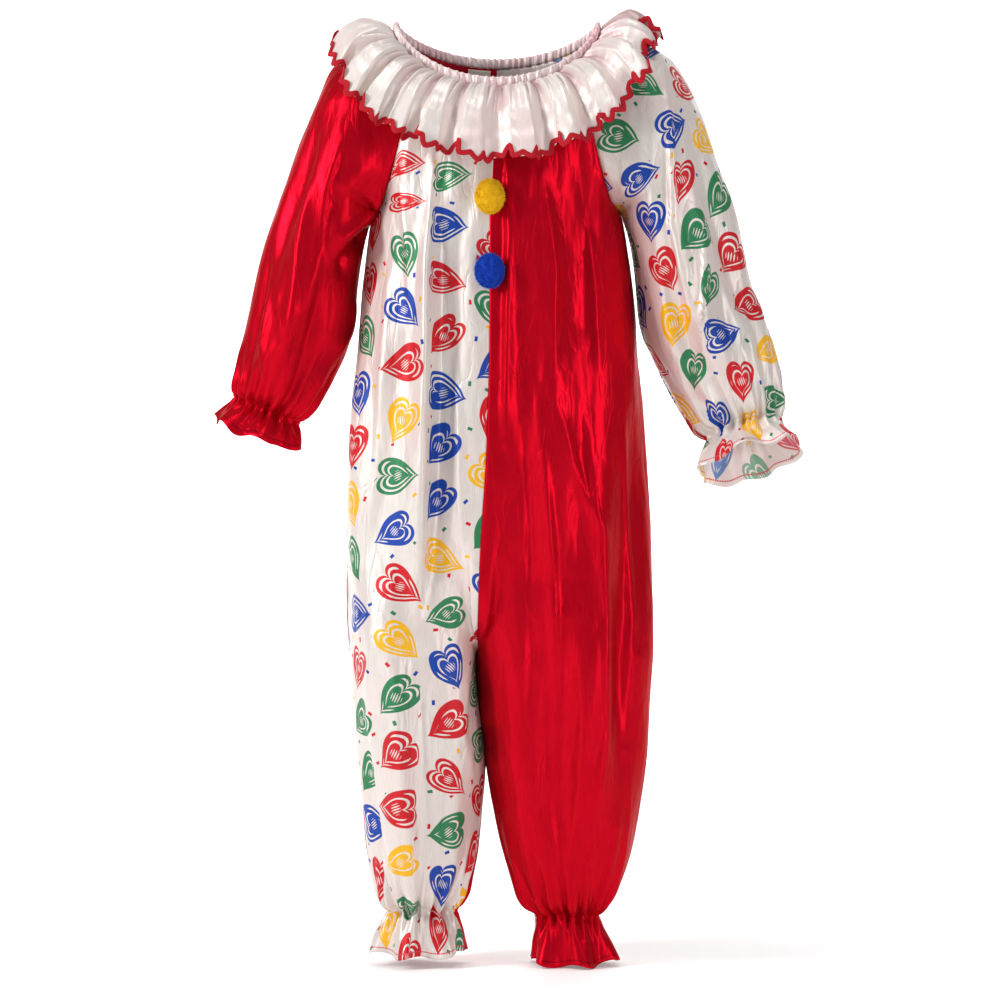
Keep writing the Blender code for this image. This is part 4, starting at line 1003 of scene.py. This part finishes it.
def neck_casing(material):
    """The tube of gathered satin round the neck's elastic."""
    around, section = CASING_MESH
    turns = np.linspace(0, 1, around + 1)
    rows = []
    wander = 2.2 * np.sin(tau * turns * 4) + 1.4 * np.sin(tau * turns * 9 + 1)
    wander += 0.9 * np.sin(tau * turns * 23)
    pleat = np.cos(tau * CASING_PLEATS * turns + wander)
    small = np.cos(tau * CASING_PLEATS * 1.7 * turns - wander)
    for at in np.linspace(0, tau, section + 1):
        out, up = cos(at), sin(at)
        face = abs(out) ** 0.5
        wide = (CASING_HALF_WIDTH + (1.2 * pleat + 0.5 * small) * face) * np.sign(out) * abs(out) ** 0.7
        high = (CASING_HALF_HEIGHT + 0.4 + 0.4 * pleat + 0.2 * small) * up - 0.8
        rows.append([neck_ring(*place) for place in zip(360 * turns, wide, high)])
    uv = flat_uv(np.linspace(0, 560, around + 1), np.linspace(0, 30, section + 1))
    piece = tube("casing_cloth", np.array(rows), uv, material)
    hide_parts("neck_casing")
    return piece


def tube(name, rows, uv, material):
    """A closed ring of cloth that is filled with its elastic, so it has no wall of its own."""
    mesh = laid_grid(rows, uv)
    bmesh.ops.remove_doubles(mesh, verts=mesh.verts, dist=1e-6)
    bmesh.ops.recalc_face_normals(mesh, faces=mesh.faces)
    return placed(name, mesh, [material])


def neck_label(material):
    """A blank woven label that hangs inside the right back, from the casing."""
    spans, steps = LABEL_MESH
    rows = between(body_stations("right", 1), np.linspace(0.06, 0.65, steps + 1))
    inward = -outward(rows, np.array([0.0, 0.0, -60.0]))
    at = np.linspace(LABEL_FROM, LABEL_TO, spans + 1)
    lines = []
    for row in rows + inward * LABEL_IN:
        order = np.argsort(row[:, 0])
        lines.append(points_at(at, row[order, 0], row[order]))
    rows = np.array(lines)
    ripple = 1 + 0.5 * np.sin(np.linspace(0, 5, spans + 1))
    rows[..., 1] -= 0.8 * (np.linspace(0, 1, steps + 1)[:, None] ** 2) * ripple[None, :]
    uv = flat_uv(at - LABEL_FROM, np.linspace(LABEL_DROP, 0, steps + 1))
    piece = cloth("label_tape", rows, uv, (0, 0, -60), material, None, False, 0.5)
    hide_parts("neck_label")
    return piece


def pompom(name, material, seed):
    """A dense trimmed ball of yarn: an uneven core with short bent fibres all over it."""
    low, high = (np.array(c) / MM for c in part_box(name))
    centre, half = (low + high) / 2, (high - low) / 2
    mesh = bmesh.new()
    bmesh.ops.create_icosphere(mesh, subdivisions=5, radius=1.0)
    for vert in mesh.verts:
        p = vert.co.normalized()
        r = 0.93 + 0.045 * noise.noise(p * 3.1 + Vector((seed, 0, 0)))
        r += 0.03 * noise.noise(p * 9.0 + Vector((seed, 3, 0))) + 0.022 * noise.noise(p * 26.0)
        vert.co = (centre + half * p * r) * MM
    core = placed(name + "_core", mesh, [material])
    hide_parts(name)
    fibres = bmesh.new()
    rng = np.random.default_rng(seed)
    golden = pi * (3 - 5**0.5)
    for k in range(FIBRES):
        height = 1 - 2 * (k + 0.5) / FIBRES
        flat = (1 - height * height) ** 0.5
        turn = golden * k
        way = Vector((flat * cos(turn), flat * sin(turn), height))
        lean = Vector(rng.normal(0, 0.45, 3))
        root = Vector(centre + half * way * 0.9)
        length = rng.uniform(*FIBRE_LENGTHS)
        side = way.cross(lean).normalized() if way.cross(lean).length > 1e-6 else way.orthogonal()
        other = way.cross(side).normalized()
        knee = root + way * length * 0.65 + lean * length * 0.15
        tip = root + way * length + lean * length * 0.5
        thick = rng.uniform(*FIBRE_HALF_WIDTHS)
        rings = []
        for at, r in ((root, thick), (knee, thick * 0.8)):
            ring = [at + (side * cos(a) + other * sin(a)) * r for a in (0, tau / 3, 2 * tau / 3)]
            rings.append([fibres.verts.new(point * MM) for point in ring])
        end = fibres.verts.new(tip * MM)
        for i in range(3):
            j = (i + 1) % 3
            fibres.faces.new((rings[0][i], rings[0][j], rings[1][j], rings[1][i]))
            fibres.faces.new((rings[1][i], rings[1][j], end))
        fibres.faces.new(reversed(rings[0]))
    fluff = placed(name + "_fibres", fibres, [material])
    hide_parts(name)
    return core, fluff


def linear(hex_colour):
    """The linear colour of an sRGB hex value."""
    parts = [int(hex_colour[i : i + 2], 16) / 255 for i in (0, 2, 4)]
    return [*(c / 12.92 if c <= 0.04045 else ((c + 0.055) / 1.055) ** 2.4 for c in parts), 1.0]


def add(tree, kind, inputs=(), **settings):
    """Adds a node with its settings. inputs are nodes, sockets or values, in order or by their socket."""
    made = tree.nodes.new("ShaderNode" + kind)
    for name, value in settings.items():
        setattr(made, name, value)
    for at, value in inputs.items() if isinstance(inputs, dict) else enumerate(inputs):
        if isinstance(value, bpy.types.Node):
            value = value.outputs[0]
        if isinstance(value, bpy.types.NodeSocket):
            tree.links.new(value, made.inputs[at])
        elif value is not None:
            made.inputs[at].default_value = value
    return made


def blend(tree, amount, low, high, colours):
    """The first colour where the amount is up to low, the second from high on, and their mix between."""
    share = add(tree, "MapRange", [amount, low, high, 0.0, 1.0])
    return add(tree, "MixRGB", [share, linear(colours[0]), linear(colours[1])])


def surface(name, roughness, sheen=(0.0, 0.5, "FFFFFF"), metallic=0.0, gloss=0.5, edge="FFFFFF"):
    """A material and its tree and shader. sheen is its weight, roughness and tint."""
    material = bpy.data.materials.new(name)
    material.use_nodes = True
    tree = material.node_tree
    shader = tree.nodes["Principled BSDF"]
    for socket, value in (
        ("Roughness", roughness),
        ("Metallic", metallic),
        ("Sheen Weight", sheen[0]),
        ("Sheen Roughness", sheen[1]),
        ("Sheen Tint", linear(sheen[2])),
        ("IOR", 1.5),
        ("Specular IOR Level", gloss),
        ("Specular Tint", linear(edge)),
    ):
        shader.inputs[socket].default_value = value
    return material, tree, shader


def cloth_relief(tree, shader, crumple):
    """Crumples of 25 and 8 mm in the cloth, and the satin's long weft floats, drawn coarser than they are."""
    place = add(tree, "TexCoord").outputs["Object"]
    long = add(tree, "Mapping", {"Vector": place, "Scale": (1.0, 1.0, 0.3)})
    bend = add(tree, "TexNoise", {"Vector": long, "Scale": 30.0, "Detail": 2.0, "Roughness": 0.5})
    shift = add(tree, "VectorMath", [bend.outputs["Color"], (0.5, 0.5, 0.5)], operation="SUBTRACT")
    small = add(tree, "VectorMath", {"Vector": shift, "Scale": 0.02}, operation="SCALE")
    bent = add(tree, "VectorMath", [long, small], operation="ADD")
    crush = add(tree, "TexNoise", {"Vector": bent, "Scale": 34.0, "Detail": 3.0, "Distortion": 0.3})
    fold = add(tree, "Math", [crush.outputs["Fac"], 0.5], operation="SUBTRACT")
    ridge = add(tree, "Math", [fold], operation="ABSOLUTE")
    sharp = add(tree, "Math", [ridge, 0.5], operation="POWER")
    uv = add(tree, "UVMap", uv_map="cloth")
    floats = add(tree, "Mapping", {"Vector": uv, "Scale": (1400.0, 60.0, 1.0)})
    thread = add(tree, "TexNoise", {"Vector": floats, "Scale": 1.0, "Detail": 1.0})
    last = None
    for height, strength, depth in (
        (sharp, 1.0, 0.0011 * crumple),
        (bend.outputs["Fac"], 1.0, 0.004 * crumple),
        (thread.outputs["Fac"], 0.2, 0.00004),
    ):
        last = add(tree, "Bump", {"Strength": strength, "Distance": depth, "Height": height, "Normal": last})
    tree.links.new(last.outputs["Normal"], shader.inputs["Normal"])
    return thread


def stitched(tree, colour, thread_colour):
    """A line of stitches round the hem: the UV's second number is metres of cloth up from the hem's edge."""
    uv = add(tree, "UVMap", uv_map="cloth")
    apart = add(tree, "SeparateXYZ", [uv])
    off = add(tree, "Math", [apart.outputs["Y"], STITCH_UP], operation="SUBTRACT")
    far = add(tree, "Math", [off], operation="ABSOLUTE")
    line = add(tree, "Math", [far, STITCH_HALF], operation="LESS_THAN")
    beat = add(tree, "Math", [apart.outputs["X"], 1 / STITCH_PITCH], operation="MULTIPLY")
    part = add(tree, "Math", [beat], operation="FRACT")
    dash = add(tree, "Math", [part, STITCH_SHARE], operation="LESS_THAN")
    seen = add(tree, "Math", [line, dash], operation="MULTIPLY")
    return add(tree, "MixRGB", [seen, colour, linear(thread_colour)])


def bleed(tree, colour, tint, most):
    """Dye from the red cloth that has washed into the white one, in soft clouds of about 80 mm."""
    place = add(tree, "TexCoord").outputs["Object"]
    cloud = add(tree, "TexNoise", {"Vector": place, "Scale": 13.0, "Detail": 3.0, "Roughness": 0.6})
    spread = add(tree, "MapRange", [cloud.outputs["Fac"], 0.42, 0.72, 0.0, most])
    return add(tree, "MixRGB", [spread, colour, linear(tint)])


def red_satin(name, colours, roughness, metallic):
    """Polyester satin dyed red: smooth long floats give a soft bright sheen along each fold."""
    material, tree, shader = surface(name, roughness, metallic=metallic, gloss=0.1, edge="C42838")
    thread = cloth_relief(tree, shader, 1.0)
    place = add(tree, "TexCoord").outputs["Object"]
    cloud = add(tree, "TexNoise", {"Vector": place, "Scale": 9.0, "Detail": 4.0})
    both = add(tree, "Math", [cloud.outputs["Fac"], thread.outputs["Fac"]], operation="ADD")
    half = add(tree, "Math", [both, 0.5], operation="MULTIPLY")
    base = blend(tree, half, 0.3, 0.7, colours)
    sewn = stitched(tree, base, "8E0A1E")
    tree.links.new(sewn.outputs[0], shader.inputs["Base Color"])
    return material


def white_satin(name, colours, roughness, stain=0.5):
    """White polyester satin, stained by the red dye in faint pink clouds, the most on the casing; painted
    shade darkens the deep parts of the ruffle's gathers to a dusky pink.
    """
    material, tree, shader = surface(name, roughness, (0.06, 0.35, "FFFFFF"), metallic=0.22)
    thread = cloth_relief(tree, shader, 0.8)
    base = blend(tree, thread.outputs["Fac"], 0.3, 0.7, colours)
    stained = bleed(tree, base, "EDBDC2", stain)
    # Painted shade: how deep in a gather the cloth lies mixes in a darker, dusky pink.
    gather_shade = add(tree, "Attribute", attribute_name="gather_shade").outputs["Fac"]
    gather_shaded = add(tree, "MixRGB", [gather_shade, stained, linear("B78A8E")])
    tree.links.new(gather_shaded.outputs[0], shader.inputs["Base Color"])
    return material


def heart_shape(tree, at):
    """A number that is 1 on the outline of a heart one unit wide to each side, and 0 in its middle."""
    apart = add(tree, "SeparateXYZ", [at])
    wide = add(tree, "Math", [apart.outputs["X"]], operation="ABSOLUTE")
    root = add(tree, "Math", [wide], operation="SQRT")
    lobe = add(tree, "Math", [root, -0.7, apart.outputs["Y"]], operation="MULTIPLY_ADD")
    down = add(tree, "Math", [lobe, 0.28], operation="ADD")
    square = add(tree, "Math", [down, down], operation="MULTIPLY")
    total = add(tree, "Math", [wide, wide, square], operation="MULTIPLY_ADD")
    return add(tree, "Math", [total], operation="SQRT")


def scattered(tree, uv, pitch, stagger, seed, jitter, swing):
    """Staggered cells of pitch millimetres, each moved by up to jitter / 2 and turned by up to swing radians:
    millimetres from the cell's middle, two random numbers of its own, and its column and row."""
    scaled = add(tree, "VectorMath", [uv, (1000 / pitch[0], 1000 / pitch[1], 0.0)], operation="MULTIPLY")
    apart = add(tree, "SeparateXYZ", [scaled])
    column = add(tree, "Math", [apart.outputs["X"]], operation="FLOOR")
    shifted = add(tree, "Math", [column, stagger, apart.outputs["Y"]], operation="MULTIPLY_ADD")
    row = add(tree, "Math", [shifted], operation="FLOOR")
    cell = add(tree, "CombineXYZ", [column, row, seed])
    inside = add(tree, "CombineXYZ", [apart.outputs["X"], shifted, 0.0])
    whole = add(tree, "CombineXYZ", [column, row, 0.0])
    from_corner = add(tree, "VectorMath", [inside, whole], operation="SUBTRACT")
    centred = add(tree, "VectorMath", [from_corner, (0.5, 0.5, 0.0)], operation="SUBTRACT")
    sized = add(tree, "VectorMath", [centred, (*pitch, 0.0)], operation="MULTIPLY")
    chance = add(tree, "TexWhiteNoise", [cell], noise_dimensions="3D")
    other = add(tree, "VectorMath", [cell, (31.0, 57.0, 7.0)], operation="ADD")
    chance_too = add(tree, "TexWhiteNoise", [other], noise_dimensions="3D")
    move = add(tree, "VectorMath", [chance.outputs["Color"], (0.5, 0.5, 0.5)], operation="SUBTRACT")
    moved = add(tree, "VectorMath", [move, (jitter, jitter, 0.0), sized], operation="MULTIPLY_ADD")
    third = add(tree, "SeparateXYZ", [chance.outputs["Color"]]).outputs["Z"]
    turn = add(tree, "MapRange", [third, 0.0, 1.0, -swing, swing])
    spun = add(tree, "VectorRotate", {"Vector": moved, "Angle": turn}, rotation_type="Z_AXIS")
    return spun, chance, chance_too, column, row


def picked_ink(tree, number, inks, starts):
    """One of the inks, by a number from 0 to 1: each starts at its own place."""
    colour = linear(inks[starts[0][0]])
    for name, start in starts[1:]:
        past = add(tree, "Math", [number, start], operation="GREATER_THAN")
        colour = add(tree, "MixRGB", [past, colour, linear(inks[name])])
    return colour


def brushed_hearts(tree, uv, inks):
    """Brushed hearts with bare rings and strokes: how far out each place is, where ink is, and its colour."""
    spun, chance, chance_too, column, row = scattered(tree, uv, HEART_PITCH, 0.5, 3.0, 3.4, 1.7)
    apart = add(tree, "SeparateXYZ", [spun])
    squash = add(tree, "MapRange", [chance_too.outputs["Value"], 0.0, 1.0, 1.0, 1.32])
    slim = add(tree, "Math", [apart.outputs["X"], squash], operation="MULTIPLY")
    shape = add(tree, "CombineXYZ", [slim, apart.outputs["Y"], 0.0])
    unit = add(tree, "VectorMath", {"Vector": shape, "Scale": 1 / HEART_REACH}, operation="SCALE")
    hand = add(tree, "TexNoise", {"Vector": uv, "Scale": 45.0, "Detail": 0.0})
    unsteady = add(tree, "VectorMath", [hand.outputs["Color"], (0.5, 0.5, 0.5)], operation="SUBTRACT")
    wobbly = add(tree, "VectorMath", [unsteady, (0.16, 0.16, 0.0), unit], operation="MULTIPLY_ADD")
    out = heart_shape(tree, wobbly)
    x, y, _ = add(tree, "SeparateXYZ", [wobbly]).outputs
    slanted = add(tree, "Math", [y, HATCH_LEAN, x], operation="MULTIPLY_ADD")
    beat = add(tree, "Math", [slanted, HATCH_TURNS], operation="MULTIPLY")
    sway = add(tree, "Math", [beat], operation="SINE")
    oval = add(tree, "VectorMath", [wobbly, (1.0, HATCH_FLATTEN, 0.0)], operation="MULTIPLY")
    from_middle = add(tree, "VectorMath", [oval], operation="LENGTH").outputs["Value"]
    taper = add(tree, "MapRange", [from_middle, 0.1, HATCH_REACH, -0.1, 1.0])
    bare = add(tree, "Math", [sway, taper], operation="GREATER_THAN")
    own = add(tree, "VectorMath", [unit, chance.outputs["Color"]], operation="ADD")
    for radius, thick, shift in HEART_RINGS:
        off = add(tree, "Math", [out, radius], operation="SUBTRACT")
        far = add(tree, "Math", [off], operation="ABSOLUTE")
        where = add(tree, "VectorMath", [own, (shift, 3.7 * shift, 1.0)], operation="ADD")
        press = add(tree, "TexNoise", {"Vector": where, "Scale": 0.8, "Detail": 0.0})
        reach = add(tree, "MapRange", [press.outputs["Fac"], 0.38, 0.48, 0.0, thick])
        line = add(tree, "Math", [far, reach], operation="LESS_THAN")
        bare = add(tree, "Math", [bare, line], operation="MAXIMUM")
    heart = add(tree, "MapRange", [out, 0.985, 1.015, 1.0, 0.0])
    inked = add(tree, "Math", [1.0, bare], operation="SUBTRACT")
    covered = add(tree, "Math", [heart, inked], operation="MULTIPLY")
    # The inks follow one another down the columns, with some chance in their order.
    order = add(tree, "Math", [column, 2.0, row], operation="MULTIPLY_ADD")
    quarter = add(tree, "Math", [order, 0.25], operation="MULTIPLY")
    drift = add(tree, "Math", [chance_too.outputs["Value"], 0.3, quarter], operation="MULTIPLY_ADD")
    pick = add(tree, "Math", [drift], operation="FRACT")
    return out, covered, picked_ink(tree, pick, inks, HEART_STARTS)


def paper_chips(tree, uv, inks):
    """Small paper chips: a number that is 1 on each of them, and its ink."""
    place, _, chance, _, _ = scattered(tree, uv, CHIP_PITCH, 0.37, 11.0, 12.0, 3.0)
    chip = add(tree, "Math", [chance.outputs["Value"], CHIP_SHARE], operation="LESS_THAN")
    parts = add(tree, "SeparateXYZ", [place])
    for axis, half in zip("XY", CHIP_HALF):
        off = add(tree, "Math", [parts.outputs[axis]], operation="ABSOLUTE")
        near = add(tree, "Math", [off, half], operation="LESS_THAN")
        chip = add(tree, "Math", [chip, near], operation="MULTIPLY")
    pick = add(tree, "SeparateXYZ", [chance.outputs["Color"]]).outputs["Y"]
    return chip, picked_ink(tree, pick, inks, CHIP_STARTS)


def heart_print(name, ground, inks, roughness):
    """White satin printed with brushed hearts and small paper chips; the ink dulls the sheen a little."""
    material, tree, shader = surface(name, roughness, (0.06, 0.35, "FFFFFF"), metallic=0.28)
    thread = cloth_relief(tree, shader, 1.5)
    uv = add(tree, "UVMap", uv_map="cloth")
    out, covered, ink = brushed_hearts(tree, uv, inks)
    chip, chip_ink = paper_chips(tree, uv, inks)
    clear = add(tree, "Math", [out, CHIP_CLEAR], operation="GREATER_THAN")
    chips = add(tree, "Math", [chip, clear], operation="MULTIPLY")
    plain = blend(tree, thread.outputs["Fac"], 0.3, 0.7, ground)
    stained = bleed(tree, plain, "E8C8C6", 0.45)
    with_chips = add(tree, "MixRGB", [chips, stained, chip_ink])
    printed = add(tree, "MixRGB", [covered, with_chips, ink])
    sewn = stitched(tree, printed, "D4475A")
    tree.links.new(sewn.outputs[0], shader.inputs["Base Color"])
    inked = add(tree, "Math", [covered, chips], operation="MAXIMUM")
    dull = add(tree, "MapRange", [inked, 0.0, 1.0, roughness, roughness + 0.1])
    tree.links.new(dull.outputs[0], shader.inputs["Roughness"])
    return material


def patterned(tree, shader, pattern, low, high, colours, strength, depth):
    """Gives a shader its colour and its bumps from one pattern."""
    base = blend(tree, pattern.outputs["Fac"], low, high, colours)
    tree.links.new(base.outputs[0], shader.inputs["Base Color"])
    bump = add(tree, "Bump", {"Strength": strength, "Distance": depth, "Height": pattern.outputs["Fac"]})
    tree.links.new(bump.outputs["Normal"], shader.inputs["Normal"])


def braid_weave(name, colours):
    """Woven cotton rickrack: matt, with diagonal threads that show as a fine rib."""
    material, tree, shader = surface(name, 0.7, (0.03, 0.5, "FF7070"), gloss=0.3)
    uv = add(tree, "UVMap", uv_map="cloth")
    slant = add(tree, "Mapping", {"Vector": uv, "Rotation": (0.0, 0.0, 0.9)})
    rib = add(tree, "TexWave", {"Vector": slant, "Scale": 320.0, "Distortion": 0.6, "Detail": 1.0})
    patterned(tree, shader, rib, 0.1, 0.9, colours, 0.8, 0.0003)
    return material


def yarn_fluff(name, colours):
    """Trimmed acrylic yarn with no gloss; the colour is painted darker in the gaps between its tufts, as
    painted shade.
    """
    material, tree, shader = surface(name, 0.95, (0.15, 0.6, colours[1]))
    place = add(tree, "TexCoord").outputs["Object"]
    tuft = add(tree, "TexNoise", {"Vector": place, "Scale": 420.0, "Detail": 4.0, "Roughness": 0.7})
    # Painted shade: where the tuft noise sinks into gaps, the colour turns to the darker of the two.
    patterned(tree, shader, tuft, 0.3, 0.65, colours, 0.9, 0.0007)
    return material


def label_weave(name, colours):
    """Cream polyester tape: a plain, tight weave with nothing on it."""
    material, tree, shader = surface(name, 0.6, (0.1, 0.5, "FFFFFF"))
    uv = add(tree, "UVMap", uv_map="cloth")
    rows = add(tree, "TexWave", {"Vector": uv, "Scale": 350.0}, bands_direction="Y")
    patterned(tree, shader, rows, 0.0, 1.0, colours, 0.5, 0.0002)
    return material


def white_card(name):
    """Matt white card that gives off a little light, so that shadows on it stay soft and pale."""
    material, _, shader = surface(name, 0.8)
    shader.inputs["Base Color"].default_value = linear("FAFAFA")
    shader.inputs["Emission Color"].default_value = linear("FFFFFF")
    shader.inputs["Emission Strength"].default_value = 0.2
    return material


def sweep(material):
    """The pale floor, curved up into a wall far behind. Half its rows are floor, three tenths the curve."""
    half_width, near, bend, radius, wall = SWEEP
    mesh = bmesh.new()
    bmesh.ops.create_grid(mesh, x_segments=2, y_segments=40, size=1.0)
    floor_z = FLOOR_Z * MM
    for vert in mesh.verts:
        along = (vert.co.y + 1) / 2
        x = vert.co.x * half_width
        if along < 0.5:
            vert.co = (x, near + along / 0.5 * (bend - near), floor_z)
        elif along < 0.8:
            turn = (along - 0.5) / 0.3 * pi / 2
            vert.co = (x, bend + radius * sin(turn), floor_z + radius * (1 - cos(turn)))
        else:
            vert.co = (x, bend + radius, floor_z + radius + (along - 0.8) / 0.2 * wall)
    data = bpy.data.meshes.new("floor")
    mesh.to_mesh(data)
    mesh.free()
    data.shade_smooth()
    data.materials.append(material)
    piece = bpy.data.objects.new("floor", data)
    bpy.context.scene.collection.objects.link(piece)


def softbox(name, place, aim, size, watts):
    """A rectangular light at a place in metres, pointed at another."""
    light = bpy.data.lights.new(name, "AREA")
    light.shape = "RECTANGLE"
    light.size, light.size_y = size
    light.energy = watts
    lamp = bpy.data.objects.new(name, light)
    lamp.location = place
    lamp.rotation_euler = (Vector(aim) - Vector(place)).to_track_quat("-Z", "Y").to_euler()
    bpy.context.scene.collection.objects.link(lamp)


def studio():
    """A level camera 4 m in front, soft boxes and a white room."""
    camera = bpy.data.objects.new("camera", bpy.data.cameras.new("camera"))
    camera.data.sensor_width = SENSOR
    camera.data.lens = SENSOR * CAMERA_AWAY / VIEW_WIDTH
    camera.location = (VIEW_X * MM, -CAMERA_AWAY * MM, VIEW_Z * MM)
    camera.rotation_euler = (pi / 2, 0.0, 0.0)
    bpy.context.scene.collection.objects.link(camera)
    bpy.context.scene.camera = camera
    for light in LIGHTS:
        softbox(*light)
    world = bpy.data.worlds.new("white_room")
    world.use_nodes = True
    world.node_tree.nodes["Background"].inputs["Color"].default_value = linear("FBFBFC")
    world.node_tree.nodes["Background"].inputs["Strength"].default_value = 0.24
    bpy.context.scene.world = world
    bpy.context.scene.view_settings.view_transform = "Standard"


bright = red_satin("polyester_satin_red", ("B4081A", "D00C24"), 0.36, 0.55)
dull_red = red_satin("polyester_satin_red_wrong_side", ("B21226", "C4203A"), 0.6, 0.0)
printed = heart_print("polyester_satin_hearts", ("DAD0C9", "E5DED7"), INKS, 0.42)
dull_print = heart_print("polyester_satin_hearts_wrong_side", ("EADFDA", "F3EAE5"), PALE_INKS, 0.6)
white = white_satin("polyester_satin_white", ("E2D7D1", "ECE3DC"), 0.44)
gathered_white = white_satin("polyester_satin_white_casing", ("DEC2C3", "ECDFDC"), 0.42, 0.95)
dull_white = white_satin("polyester_satin_white_wrong_side", ("EADFDB", "F2EAE6"), 0.6)
braid = braid_weave("cotton_rickrack_red", ("A00012", "CC0420"))
tape = label_weave("polyester_tape_cream", ("E6DCC8", "F4EEE0"))

LOOKS = {"red": (bright, dull_red), "print": (printed, dull_print)}
for face, side, look in (
    ("front", "right", "print"),
    ("front", "left", "red"),
    ("back", "right", "red"),
    ("back", "left", "print"),
):
    piece = body_panel(face, side, *LOOKS[look])
for side, look in (("right", "red"), ("left", "print")):
    piece = sleeve(side, *LOOKS[look])
collar = collar_ruffle(white, dull_white)
trim = rickrack(braid)
casing = neck_casing(gathered_white)
label = neck_label(tape)
for name, colours, seed in (
    ("pompom_yellow", ("FFC000", "FFDE22"), 3),
    ("pompom_blue", ("0836A8", "1054D6"), 8),
):
    fluff = yarn_fluff(name + "_yarn", colours)
    for piece in pompom(name, fluff, seed):
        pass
sweep(white_card("pale_floor"))
studio()
